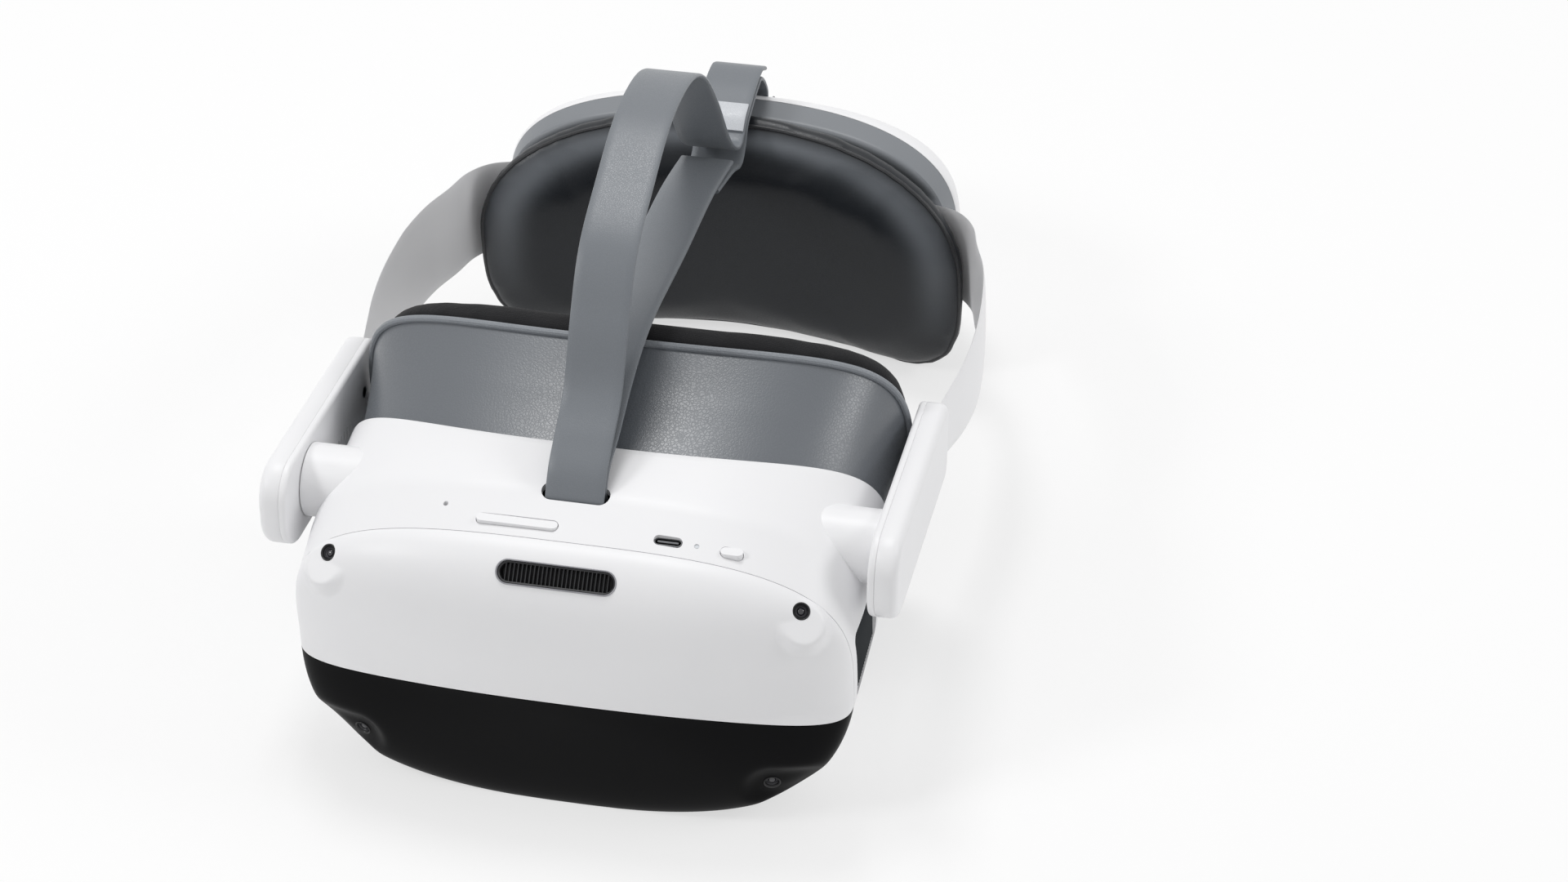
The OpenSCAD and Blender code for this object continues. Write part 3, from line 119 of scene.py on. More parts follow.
room_light = 0.51
pure_white = (1.0, 1.0, 1.0, 1.0)
world = bpy.data.worlds.new("studio")
world.use_nodes = True
world.node_tree.nodes.clear()
air = Wire(world.node_tree)
strength = seen_directly(air) * (1.0 - room_light) + room_light
glow = air.node("ShaderNodeBackground", {}, {"Color": pure_white, "Strength": strength})
air.node("ShaderNodeOutputWorld", {}, {"Surface": glow})
scene.world = world

floor_size, floor_white, floor_glow = 9.0, 0.93, 0.62
floor_mesh = bpy.data.meshes.new("studio_floor")
half = floor_size / 2
floor_mesh.from_pydata(
    [(-half, -half, 0), (half, -half, 0), (half, half, 0), (-half, half, 0)], [], [(0, 1, 2, 3)]
)
floor = bpy.data.objects.new("studio_floor", floor_mesh)
scene.collection.objects.link(floor)
paper = bpy.data.materials.new("studio_paper")
paper.use_nodes = True
paper.node_tree.nodes.clear()
sheet = Wire(paper.node_tree)
matt = sheet.node("ShaderNodeBsdfDiffuse", {}, {"Color": (floor_white, floor_white, floor_white, 1.0)})
lit = sheet.node("ShaderNodeEmission", {}, {"Color": pure_white, "Strength": 1.0})
mixed = sheet.node("ShaderNodeMixShader", {}, {0: seen_directly(sheet) * floor_glow, 1: matt, 2: lit})
sheet.node("ShaderNodeOutputMaterial", {}, {"Surface": mixed})
floor_mesh.materials.append(paper)


def soft_light(name, place, aim, size, power):
    lamp = bpy.data.lights.new(name, "AREA")
    lamp.shape = "DISK"
    lamp.size = size
    lamp.energy = power
    made = bpy.data.objects.new(name, lamp)
    made.location = place
    made.rotation_euler = (Vector(aim) - Vector(place)).to_track_quat("-Z", "Y").to_euler()
    scene.collection.objects.link(made)


soft_light("overhead", (-0.24, 0.46, 1.5), (0.0, 0.0, 0.05), size=0.45, power=7.8)
soft_light("front_fill", (-0.95, -0.6, 1.1), (0.0, 0.05, 0.05), size=0.4, power=5.2)
soft_light("side_fill", (1.2, 0.15, 0.85), (-0.08, 0.02, 0.07), size=0.5, power=3.8)

camera_turn, camera_rise, camera_roll = map(math.radians, (16.09, 40.22, -3.84))
camera_distance, focal_length, sensor_width = 1182.8, 80.8, 36.0
camera_target = Vector((0, 120, 50))
camera_slide = (47.1, 3.0)
view = Matrix.Rotation(camera_turn, 3, "Z") @ Matrix.Rotation(math.pi / 2 - camera_rise, 3, "X")
view = view @ Matrix.Rotation(camera_roll, 3, "Z")
eye = camera_target + view @ Vector((0, 0, camera_distance))
look = camera_target + view @ Vector((*camera_slide, 0))
back = (eye - look).normalized()
side_axis = view.col[1].cross(back).normalized()
turn = Matrix((side_axis, back.cross(side_axis), back)).transposed()
lens = bpy.data.cameras.new("camera")
lens.lens, lens.sensor_width = focal_length, sensor_width
camera = bpy.data.objects.new("camera", lens)
camera.matrix_world = Matrix.Translation((eye + Vector((0, front_depth, 0))) * MM) @ turn.to_4x4()
scene.collection.objects.link(camera)
scene.camera = camera

# Front shell: a white upper cover and a black lower visor, two injection-moulded
# skins that meet in a line across the face and clip to the main housing.
visor_half_w = 90.5
visor_mid, visor_half_h = 45.0, 48.0
visor_depth = 24.0
squareness, low_squareness = 3.3, 2.5
edge_curve, chin_curve = 2.0, 8.0
split_height, split_drop, split_gap, split_reach = 47.0, 8.5, 0.3, 0.9
skin_wall = 2.2
upper_camera, lower_camera = (75.5, 81.0), (68.0, 17.0)


def squared_radius(t, a, b, n):
    """Distance to a squared ellipse of half sizes a and b, at angle t."""
    return (np.abs(np.cos(t) / a) ** n + np.abs(np.sin(t) / b) ** n) ** (-1 / n)


def squared_by(side, top=squareness):
    """How square an outline is: rounder below its middle."""
    return np.where(np.asarray(side) < 0, low_squareness, top)


def front_face(x, z):
    """Depth of the front face: a bulge that turns back at its edge, tighter at the chin."""
    v = (z - visor_mid) / visor_half_h
    m = edge_curve + (chin_curve - edge_curve) * np.maximum(0, -v) ** 1.5
    n = squared_by(v)
    rho = (np.abs(x / visor_half_w) ** n + np.abs(v) ** n) ** (1 / n)
    return visor_depth * (1 - np.maximum(0, 1 - np.minimum(1, rho) ** m) ** (1 / m))


def unit(v):
    return v / np.linalg.norm(v)


def front_spot(x, z):
    """A point of the front face, and the direction that the face looks there."""
    e = 0.5
    slope_x = (front_face(x + e, z) - front_face(x - e, z)) / (2 * e)
    slope_z = (front_face(x, z + e) - front_face(x, z - e)) / (2 * e)
    return np.array((x, float(front_face(x, z)), z)), unit(np.array((slope_x, -1.0, slope_z)))


def split_line(x):
    return split_height - split_drop * (x / visor_half_w) ** 2


def front_sheet(t0, t1, drop, cols, rows):
    """Points of the front face between the split line and the seam, from angle t0 to t1."""
    s = np.sin(np.pi / 2 * np.linspace(0, 1, rows + 1))[:, None]
    share = np.linspace(0, 1, cols + 1)[None, :]
    t = t0 + (t1 - t0) * share
    reach = squared_radius(t, visor_half_w, visor_half_h, squared_by(np.sin(t)))
    across = np.cos(np.pi * share) * (1 if t0 < math.pi / 2 else -1) * split_reach * visor_half_w
    x = across * (1 - s) + reach * np.cos(t) * s
    z = (split_line(across) - drop) * (1 - s) + (visor_mid + reach * np.sin(t)) * s
    return np.stack((x, front_face(x, z), np.maximum(0, z)), axis=-1)


def quads(rows, cols, close_rows=False, close_cols=False):
    """Faces of a grid of points, rows by cols."""
    r = np.arange(rows if close_rows else rows - 1)[:, None]
    c = np.arange(cols if close_cols else cols - 1)[None, :]
    r1, c1 = (r + 1) % rows, (c + 1) % cols
    corners = np.stack(np.broadcast_arrays(
        r * cols + c, r * cols + c1, r1 * cols + c1, r1 * cols + c
    ), axis=-1)
    return corners.reshape(-1, 4).tolist()


def smooth(piece, angle=34):
    """Smooth shading, with edges sharper than the angle kept crisp."""
    piece.data.polygons.foreach_set("use_smooth", [True] * len(piece.data.polygons))
    piece.data.set_sharp_from_angle(angle=math.radians(angle))
    return piece


def make_piece(name, points, faces, material):
    """A mesh object from points in millimetres."""
    mesh = bpy.data.meshes.new(name)
    placed = (np.asarray(points, float).reshape(-1, 3) + (0, front_depth, 0)) * MM
    mesh.from_pydata(placed.tolist(), [], faces)
    mesh.validate()
    made = bpy.data.objects.new(name, mesh)
    scene.collection.objects.link(made)
    mesh.materials.append(material)
    return smooth(made)


def turn_outward(piece):
    """Point every face of a closed piece outwards."""
    bm = bmesh.new()
    bm.from_mesh(piece.data)
    bmesh.ops.recalc_face_normals(bm, faces=bm.faces)
    bm.to_mesh(piece.data)
    bm.free()
    return piece


def settle(piece):
    """Turn a piece and its modifiers into a plain mesh."""
    graph = bpy.context.evaluated_depsgraph_get()
    mesh = bpy.data.meshes.new_from_object(piece.evaluated_get(graph), depsgraph=graph)
    piece.modifiers.clear()
    piece.data = mesh
    return piece


def slot_outline(length, width, steps=12):
    """A slot with round ends, along X."""
    turn = np.linspace(-np.pi / 2, np.pi / 2, steps + 1)
    end = np.stack((np.cos(turn), np.sin(turn)), axis=-1) * width / 2
    reach = np.array((max(0.0, (length - width) / 2), 0))
    return np.concatenate((end + reach, -end - reach))


def prism(outline, low, high, place):
    """Points and faces of an outline drawn out along its own Z, moved by place."""
    n = len(outline)
    flat = [Vector((p[0], p[1], h)) for h in (low, high) for p in outline]
    faces = [(k, (k + 1) % n, n + (k + 1) % n, n + k) for k in range(n)]
    faces += [tuple(range(n - 1, -1, -1)), tuple(range(n, 2 * n))]
    return np.array([place @ p for p in flat]), faces


def cut_out(piece, prisms):
    """Cut prisms that don't touch each other out of a closed piece."""
    points, faces = [], []
    for body, sides in prisms:
        start = sum(len(p) for p in points)
        points.append(body)
        faces += [tuple(start + k for k in side) for side in sides]
    cutter = make_piece("cutter", np.concatenate(points), faces, piece.data.materials[0])
    turn_outward(cutter)
    knife = piece.modifiers.new("cut", "BOOLEAN")
    knife.object = cutter
    knife.operation = "DIFFERENCE"
    knife.solver = "EXACT"
    settle(piece)
    bpy.data.objects.remove(cutter)
    return smooth(piece)


def looking(place, facing, along=(1, 0, 0)):
    """A matrix that sets Z to the facing direction and X near the direction along."""
    z = Vector(facing).normalized()
    y = z.cross(Vector(along)).normalized()
    turned = Matrix((y.cross(z), y, z)).transposed().to_4x4()
    return Matrix.Translation(Vector(place)) @ turned


def new_finish(name):
    material = bpy.data.materials.new(name)
    material.use_nodes = True
    material.node_tree.nodes.clear()
    return material, Wire(material.node_tree)


def own_place(wire):
    return wire.node("ShaderNodeTexCoord", {}, {}, "Object")


def speckle(wire, scale, detail=2.0):
    """Noise on the piece's own coordinates, scale being grains in each metre."""
    links = {"Vector": own_place(wire), "Scale": scale, "Detail": detail}
    return wire.node("ShaderNodeTexNoise", {}, links)


def relief(wire, strength, distance, height):
    """A bump in the surface, its distance in metres."""
    return wire.node("ShaderNodeBump", {}, {"Strength": strength, "Distance": distance, "Height": height})


def coat(wire, links):
    """Close a finish with its principled surface."""
    skin = wire.node("ShaderNodeBsdfPrincipled", {}, links)
    wire.node("ShaderNodeOutputMaterial", {}, {"Surface": skin})


def moulded_plastic(name, tone, darker, roughness, shine=0.5, ior=1.47):
    """Moulded plastic: fine spark-eroded texture, with a faint drift of tone and gloss."""
    material, wire = new_finish(name)
    drift = speckle(wire, 38.0, 3.0)
    fine = speckle(wire, 2600.0)
    coat(wire, {
        "Base Color": drift.blend_colours((*tone, 1.0), (*darker, 1.0)),
        "Roughness": drift * 0.06 + fine * 0.08 + (roughness - 0.07),
        "Normal": relief(wire, 0.05, 0.0001, fine),
        "IOR": ior,
        "Specular IOR Level": shine,
    })
    return material


white_plastic = moulded_plastic(
    "white_plastic", (0.86, 0.86, 0.87), (0.835, 0.835, 0.85), roughness=0.4, shine=0.35)
black_plastic = moulded_plastic(
    "black_plastic", (0.0042, 0.0042, 0.0047), (0.0030, 0.0030, 0.0034), roughness=0.42, shine=0.07)
pod_lean = (0.30, -0.60, 0.75)
pod_drop, pod_radius, pod_edge = 4.6, 9.6, 4.2
pod_height, pod_fade = 9.0, 4.0


def pod_facing(side):
    """The way a pod looks: up, forwards and a little outwards."""
    return unit(np.array((side * pod_lean[0], *pod_lean[1:])))


def raise_pods(points):
    """Lift the upper corners into flat round pods that face up, one under each camera."""
    for side in (-1, 1):
        spot, _ = front_spot(side * upper_camera[0], upper_camera[1])
        facing = pod_facing(side)
        fall = unit(np.array((0, 0, -1.0)) + facing[2] * facing)
        off = points - spot
        below = np.maximum(0, -(off @ facing))
        flat = off - np.outer(off @ facing, facing)
        reach = np.linalg.norm(flat - pod_drop * fall, axis=-1)
        edge = np.clip((pod_radius - reach) / pod_edge, 0, 1)
        near = np.clip((pod_height - below) / pod_fade, 0, 1)
        points = points + np.outer(below * edge * edge * (3 - 2 * edge) * near, facing)
    return points


dish_depth, dish_reach, dish_run = 3.0, 8.0, 16.0


def press_corners(points):
    """Press a shallow dish into each lower corner, where a camera looks out, open to the side."""
    for side in (-1, 1):
        spot, facing = front_spot(side * lower_camera[0], lower_camera[1])
        off = points - spot
        outward = np.clip(off[:, 0] * side, 0, dish_run)
        reach = np.linalg.norm(off - np.outer(outward, (side, 0, 0)), axis=-1)
        points = points - np.outer(dish_depth * np.exp(-((reach / dish_reach) ** 4)), facing)
    return points


def slab_piece(name, outer, inner, material):
    """A closed slab between two grids of points that share their layout."""
    rows, cols = outer.shape[:2]
    count = rows * cols
    faces = [face[::-1] for face in quads(rows, cols)]
    faces += [[k + count for k in face[::-1]] for face in faces]
    index = np.arange(count).reshape(rows, cols)
    edge = np.concatenate((index[0, :-1], index[:-1, -1], index[-1, :0:-1], index[:0:-1, 0])).tolist()
    faces += [(a, b, b + count, a + count) for a, b in zip(edge, edge[1:] + edge[:1])]
    return turn_outward(make_piece(name, np.concatenate((outer, inner)), faces, material))


def front_skin(name, t0, t1, drop, shape, material):
    """One skin of the front shell, from angle t0 to t1, with its corners shaped."""
    cols, rows = 360, 84
    sheet = front_sheet(t0, t1, drop, cols, rows)
    inner = np.stack((
        sheet[..., 0] * (1 - skin_wall / visor_half_w),
        np.minimum(sheet[..., 1] + skin_wall, visor_depth),
        np.maximum(skin_wall, visor_mid + (sheet[..., 2] - visor_mid) * (1 - skin_wall / visor_half_h)),
    ), axis=-1)
    outer = shape(sheet.reshape(-1, 3)).reshape(sheet.shape)
    if shape is press_corners:
        inner = shape(inner.reshape(-1, 3)).reshape(sheet.shape)
    return slab_piece(name, outer, inner, material)


def camera_seats(spot, shape):
    """The place and facing of the left and right cameras at a height."""
    found = []
    for side in (-1, 1):
        place, facing = front_spot(side * spot[0], spot[1])
        if shape == "pod":
            facing = pod_facing(side)
        else:
            place = place - dish_depth * facing
        found.append(looking(place, facing))
    return found


vent_spot, vent_facing = front_spot(0.0, 88.0)
vent_place = looking(vent_spot, vent_facing)
vent_length, vent_width = 38.0, 7.6
camera_width = 5.6
upper_seats = camera_seats(upper_camera, "pod")
lower_seats = camera_seats(lower_camera, "dish")
split_angle = math.atan2(split_line(visor_half_w) - visor_mid, visor_half_w)
gap_angle = math.atan2(split_line(visor_half_w) - split_gap - visor_mid, visor_half_w)


def camera_bores(seats):
    return [prism(slot_outline(camera_width, camera_width, 24), low=-9, high=6, place=seat) for seat in seats]


def vent_outline(inset):
    return slot_outline(vent_length - 2 * inset, vent_width - 2 * inset, 20)


upper_cover = front_skin(
    "front_cover_skin", split_angle, math.pi - split_angle, 0, raise_pods, white_plastic)
cut_out(upper_cover, [prism(vent_outline(0), low=-12, high=8, place=vent_place)] + camera_bores(upper_seats))
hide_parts("front_cover")
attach(upper_cover, "front")

lower_visor = front_skin(
    "lower_visor_skin", math.pi - gap_angle, 2 * math.pi + gap_angle, split_gap, press_corners, black_plastic)
cut_out(lower_visor, camera_bores(lower_seats))
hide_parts("lower_visor")
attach(lower_visor, "front")

# Front vent: a black moulded tray with a row of thin upright slats, snapped into a
# round-ended slot at the top of the white cover, with a pale rim round its mouth.
grille_black = moulded_plastic("grille_black", (0.034, 0.034, 0.037), (0.025, 0.025, 0.027), roughness=0.46)
rim_grey = moulded_plastic("rim_grey", (0.30, 0.30, 0.32), (0.25, 0.25, 0.27), roughness=0.36)
vent_slats = 26


def node_group(name, inputs):
    """A geometry tree with named inputs; gives its input and output nodes too."""
    tree = bpy.data.node_groups.new(name, "GeometryNodeTree")
    for label, kind in inputs.items():
        tree.interface.new_socket(name=label, in_out="INPUT", socket_type=f"NodeSocket{kind}")
    tree.interface.new_socket(name="Geometry", in_out="OUTPUT", socket_type="NodeSocketGeometry")
    return tree, tree.nodes.new("NodeGroupInput"), tree.nodes.new("NodeGroupOutput")


def connect(tree, *links):
    """Join an output of one node to an input of another, for each link."""
    for source, output, target, entry in links:
        tree.links.new(source.outputs[output], target.inputs[entry])


def add_nodes(tree, *kinds):
    return [tree.nodes.new(kind) for kind in kinds]


def preset(node, **values):
    for name, value in values.items():
        node.inputs[name.replace("_", " ")].default_value = value


def finish_tree(tree, start, end, spread):
    """Realize what the tree has spread out and give it the material input."""
    real, paint = add_nodes(tree, "GeometryNodeRealizeInstances", "GeometryNodeSetMaterial")
    connect(tree, (spread, "Instances", real, "Geometry"), (real, "Geometry", paint, "Geometry"),
            (start, "Material", paint, "Material"), (paint, "Geometry", end, "Geometry"))


def grow(name, tree, values, place, material):
    """Run a geometry tree with these inputs, and set its result in place as a plain mesh."""
    seed = bpy.data.objects.new(name, bpy.data.meshes.new(name))
    scene.collection.objects.link(seed)
    run = seed.modifiers.new("tree", "NODES")
    run.node_group = tree
    values = {**values, "Material": material}
    for socket in tree.interface.items_tree:
        if socket.in_out == "INPUT":
            run[socket.identifier] = values[socket.name]
    seed.update_tag()
    bpy.context.view_layer.update()
    settle(seed)
    seed.data.materials.clear()
    seed.data.materials.append(material)
    seed.data.transform(Matrix.Scale(MM, 4) @ Matrix.Translation((0, front_depth, 0)) @ place)
    return smooth(seed)


# Slats stand in a row along X, each a bar with a rounded front edge
slat_tree, slat_in, slat_out = node_group("slat_row", {
    "Count": "Int", "Pitch": "Float", "Thickness": "Float", "Height": "Float", "Depth": "Float",
    "Material": "Material",
})
row, step, bar, bar_size, bar_turn, spread = add_nodes(
    slat_tree, "GeometryNodeMeshLine", "ShaderNodeCombineXYZ", "GeometryNodeMeshCylinder",
    "ShaderNodeCombineXYZ", "GeometryNodeTransform", "GeometryNodeInstanceOnPoints")
preset(bar, Vertices=10, Side_Segments=1, Radius=0.5, Depth=1.0)
preset(bar_turn, Rotation=(math.pi / 2, 0, 0))
connect(
    slat_tree,
    (slat_in, "Count", row, "Count"),
    (slat_in, "Pitch", step, "X"),
    (step, "Vector", row, "Offset"),
    (slat_in, "Thickness", bar_size, "X"),
    (slat_in, "Height", bar_size, "Z"),
    (slat_in, "Depth", bar_size, "Y"),
    (bar_size, "Vector", bar_turn, "Scale"),
    (bar, "Mesh", bar_turn, "Geometry"),
    (row, "Mesh", spread, "Points"),
    (bar_turn, "Geometry", spread, "Instance"),
)
finish_tree(slat_tree, slat_in, slat_out, spread)


def slat_row(name, count, pitch, place, material, share, height, depth, sunk):
    """A row of slats about the middle of a place; share is the part of the pitch each takes up."""
    values = {"Count": count, "Pitch": pitch, "Thickness": pitch * share, "Height": height, "Depth": depth}
    centred = place @ Matrix.Translation((-pitch * (count - 1) / 2, 0, -sunk))
    return grow(name, slat_tree, values, centred, material)


slat_pitch = (vent_length - vent_width * 0.55) / vent_slats
slats = slat_row(
    "vent_slats", vent_slats, slat_pitch, vent_place, grille_black,
    share=0.46, height=vent_width - 0.9, depth=2.6, sunk=2.4)
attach(slats, "front")


def ring_piece(name, rings, material, caps=False):
    """A skin through closed rings of equal counts; its ends meet, or are capped at their middles."""
    rings = np.asarray(rings)
    m, n = rings.shape[:2]
    points = rings.reshape(-1, 3)
    faces = quads(m, n, not caps, True)
    if caps:
        points = np.concatenate((points, rings[:1].mean(axis=1), rings[-1:].mean(axis=1)))
        faces += [(m * n, (k + 1) % n, k) for k in range(n)]
        faces += [(m * n + 1, (m - 1) * n + k, (m - 1) * n + (k + 1) % n) for k in range(n)]
    return turn_outward(make_piece(name, points, faces, material))


def stacked(place, steps, outline):
    """Rings built up along a place's Z: each step gives the outline's inset or size, and its height."""
    return [[place @ Vector((*p, height)) for p in outline(inset)] for inset, height in steps]


tray_steps = [(0.05, -6.0), (0.05, -0.9), (0.5, -0.75), (0.9, -1.1), (0.95, -5.4), (2.6, -5.5), (2.6, -6.0)]
vent_tray = ring_piece("vent_tray", stacked(vent_place, tray_steps, vent_outline), grille_black)
floor_steps = [(0.4, -6.2), (0.4, -5.3)]
floor_rings = stacked(vent_place, floor_steps, vent_outline)
vent_floor = ring_piece("vent_floor", floor_rings, grille_black, caps=True)
for part in (vent_tray, vent_floor):
    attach(part, "front")
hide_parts("vent_grille")
rim_steps = [(-0.2, -1.2), (-0.2, 0.04), (-0.05, 0.14), (0.22, 0.08), (0.28, -1.2)]
vent_rim = ring_piece("vent_rim", stacked(vent_place, rim_steps, vent_outline), rim_grey)
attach(vent_rim, "front")

# Tracking cameras: four small black barrels with stepped baffles and domed glass,
# two in the white pods and two in the black corners.
lens_black = moulded_plastic("lens_black", (0.008, 0.008, 0.009), (0.005, 0.005, 0.006), roughness=0.42)
baffle_grey, wire = new_finish("baffle_grey")
sheen = speckle(wire, 900.0)
coat(wire, {"Base Color": (0.03, 0.03, 0.034, 1.0), "Roughness": sheen * 0.1 + 0.28, "Metallic": 0.3})


def mottled(name, scale, tone, other, least, spread, detail=2.0, **fixed):
    """A finish whose tone and gloss drift together, its roughness going from least by spread."""
    material, wire = new_finish(name)
    drift = speckle(wire, scale, detail)
    colour = drift.blend_colours((*tone, 1.0), (*other, 1.0))
    links = {"Base Color": colour, "Roughness": drift * spread + least}
    coat(wire, {**links, **{key.replace("_", " "): value for key, value in fixed.items()}})
    return material


lens_glass = mottled("lens_glass", 420.0, (0.006, 0.006, 0.010), (0.010, 0.008, 0.016),
                     least=0.035, spread=0.03, IOR=1.52, Coat_Weight=0.6)


def all_round(steps):
    """Angles of a full turn."""
    return np.linspace(0, 2 * np.pi, steps, endpoint=False)


def lathe(profile, steps, place):
    """Rings of a turned piece: the profile gives radius and height."""
    return [[place @ Vector((r * math.cos(t), r * math.sin(t), h)) for t in all_round(steps)]
            for r, h in profile]


def joined(name, pieces):
    """Join like pieces into one mesh."""
    bm = bmesh.new()
    for piece in pieces:
        bm.from_mesh(piece.data)
    mesh = bpy.data.meshes.new(name)
    bm.to_mesh(mesh)
    bm.free()
    mesh.materials.append(pieces[0].data.materials[0])
    for piece in pieces:
        bpy.data.objects.remove(piece)
    made = bpy.data.objects.new(name, mesh)
    scene.collection.objects.link(made)
    return smooth(made)


def at_cameras(name, profile, steps, material, caps=False):
    """A turned piece at each of the four cameras."""
    seats = upper_seats + lower_seats
    return joined(name, [ring_piece("turned", lathe(profile, steps, seat), material, caps) for seat in seats])


barrels = at_cameras("camera_barrels", [
    (2.75, -7.0), (2.75, 0.05), (2.66, 0.16), (2.5, 0.18), (2.32, 0.05), (2.1, -0.35), (2.0, -0.8),
    (2.0, -7.0),
], 40, lens_black)
baffles = at_cameras("camera_baffles", [
    (1.98, -0.55), (1.84, -0.5), (1.58, -0.76), (1.53, -1.0), (1.32, -1.05), (1.27, -1.8), (1.98, -1.8),
], 40, baffle_grey)
domes = at_cameras("camera_domes", [
    (1.3, -1.6), (1.27, -1.16), (1.14, -0.9), (0.88, -0.7), (0.53, -0.57), (0.22, -0.53),
], 32, lens_glass, caps=True)
for part, slot in ((barrels, "dark_plastic"), (baffles, "dark_plastic"), (domes, "dark_glass")):
    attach(part, "front")
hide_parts("camera_modules")
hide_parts("camera_lenses")

# Main housing: the white moulded body behind the seam, open at the back, with the
# strap slot, buttons and socket on its top and a louvred opening low on each side.
housing_half_w = 91.0
strap_slot_y, slot_top = 41.0, 98.83
housing_top, floor_cut = 101.0, 3.0
# Depth, half width, top and sweep of the housing at its front, at the strap slot and at its back
housing_rows = np.array([
    (24.3, visor_half_w, 93.0, 0.0), (strap_slot_y, housing_half_w, slot_top, 0.0),
    (61.0, housing_half_w, housing_top, 23.0)])
nose_height, nose_half_w, nose_start, nose_end = 40.0, 21.0, 36.0, 104.0
pivot_y, pivot_z, hub_diameter = 56.0, 77.5, 24.0
RING = 288


def nose_rise(y):
    return nose_height * max(0.0, (y - nose_start) / (nose_end - nose_start))


def body_ring(y, a, low, high, sweep, top=squareness, floor_z=0.0):
    """A ring round the body, its sides swept back and its lower edge lifted for the nose."""
    t = all_round(RING)
    r = squared_radius(t, a, (high - low) / 2, squared_by(np.sin(t), top))
    x = r * np.cos(t)
    nose = np.where(np.sin(t) < 0, nose_rise(y) * np.exp(-((x / nose_half_w) ** 2)), 0)
    z = np.maximum(floor_z, (low + high) / 2 + r * np.sin(t) + nose)
    return np.stack((x, y + sweep * (np.abs(x) / a) ** 3, z), axis=-1)


def housing_at(share, inset):
    """A ring of the housing at a share of its depth."""
    y, a, top, sweep = (np.interp(share, (0, 0.45, 1), housing_rows[:, k]) for k in range(4))
    return body_ring(y, a - inset, inset or -floor_cut, top - inset, sweep, floor_z=inset)


depths = np.linspace(0, 1, 22)
outer = [housing_at(s, 0.0) for s in depths]
lip = [housing_at(1.0, inset) + (0, rise, 0) for inset, rise in ((0.25, 0.6), (0.9, 0.95), (1.7, 0.6))]
inner = [housing_at(s, skin_wall) for s in depths[::-1]]
housing = ring_piece("main_housing_shell", outer + lip + inner, white_plastic)
control_y, control_top = 29.0, 94.71
button_gap, port_gap = 0.22, 0.06
rocker_x, rocker_length, button_width = -16.0, 26.0, 3.4
power_x, power_length = 52.0, 7.0
port_x, port_length, port_width = 32.0, 9.0, 3.2
light_x, mic_x, mic_y, pinhole = 41.0, -40.0, 33.0, 1.6
intake_y, intake_z, intake_length, intake_height, intake_corner = 44.0, 50.0, 30.0, 26.0, 3.0
strap_slot = (22.0, 6.8)


def down_cut(outline, x, y):
    return prism(outline, low=-12, high=12, place=Matrix.Translation((x, y, control_top)))


def side_place(side, y, z):
    """A place on the housing's side: Z looks out, X runs back."""
    return looking((side * housing_half_w, y, z), (side, 0, 0), (0, 1, 0))


def round_corners(corners, steps):
    """A closed outline of four quarter turns; each corner gives its middle and its radius."""
    turn = np.linspace(0, np.pi / 2, steps + 1)
    return np.array([
        (x + radius * math.cos(t), y + radius * math.sin(t))
        for quarter, (x, y, radius) in enumerate(corners) for t in turn + quarter * np.pi / 2])


def rounded_outline(length, width, radius, steps=8):
    """A rectangle with round corners."""
    x, y = length / 2 - radius, width / 2 - radius
    return round_corners([(x, y, radius), (-x, y, radius), (-x, -y, radius), (x, -y, radius)], steps)


holes = [down_cut(slot_outline(*strap_slot), 0, strap_slot_y)]
for x, length, width, gap in (
    (port_x, port_length, port_width, port_gap),
    (rocker_x, rocker_length, button_width, button_gap),
    (power_x, power_length, button_width, button_gap),
):
    holes.append(down_cut(slot_outline(length + 2 * gap, width + 2 * gap), x, control_y))
for x, y in ((light_x, control_y), (mic_x, mic_y)):
    holes.append(down_cut(slot_outline(pinhole, pinhole), x, y))
for side in (-1, 1):
    hub = slot_outline(hub_diameter, hub_diameter, 24)
    holes.append(prism(hub, low=-12, high=6, place=side_place(side, pivot_y, pivot_z)))
    intake = rounded_outline(intake_length, intake_height, intake_corner)
    holes.append(prism(intake, low=-4.4, high=4.4, place=side_place(side, intake_y, intake_z)))
cut_out(housing, holes)
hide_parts("main_housing")
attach(housing, "front")

# Side intakes: a dark moulded panel behind each opening, with fine upright louvres that
# let air into the housing under the arms.
intake_grey = moulded_plastic(
    "intake_grey", (0.075, 0.080, 0.085), (0.05, 0.054, 0.058), roughness=0.8, shine=0.1, ior=1.05)
louvres = 20
louvre_pitch = (intake_length - 2.0) / louvres
panel_outline = rounded_outline(intake_length - 0.1, intake_height - 0.1, intake_corner - 0.1)
panel_steps = ((1.0, -2.9), (1.0, -2.0), (0.97, -1.8))
panels, louvre_rows = [], []
for side in (-1, 1):
    place = side_place(side, intake_y, intake_z)
    rings = stacked(place, panel_steps, lambda size: panel_outline * size)
    panels.append(ring_piece("panel", rings, intake_grey, caps=True))
    louvre_rows.append(slat_row(
        "louvres", louvres, louvre_pitch, place, intake_grey,
        share=0.55, height=intake_height - intake_corner, depth=1.6, sunk=1.8))
intake_panel = joined("intake_panels", panels)
intake_louvres = joined("intake_louvres", louvre_rows)
for part in (intake_panel, intake_louvres):
    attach(part, "front")
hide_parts("side_intakes")

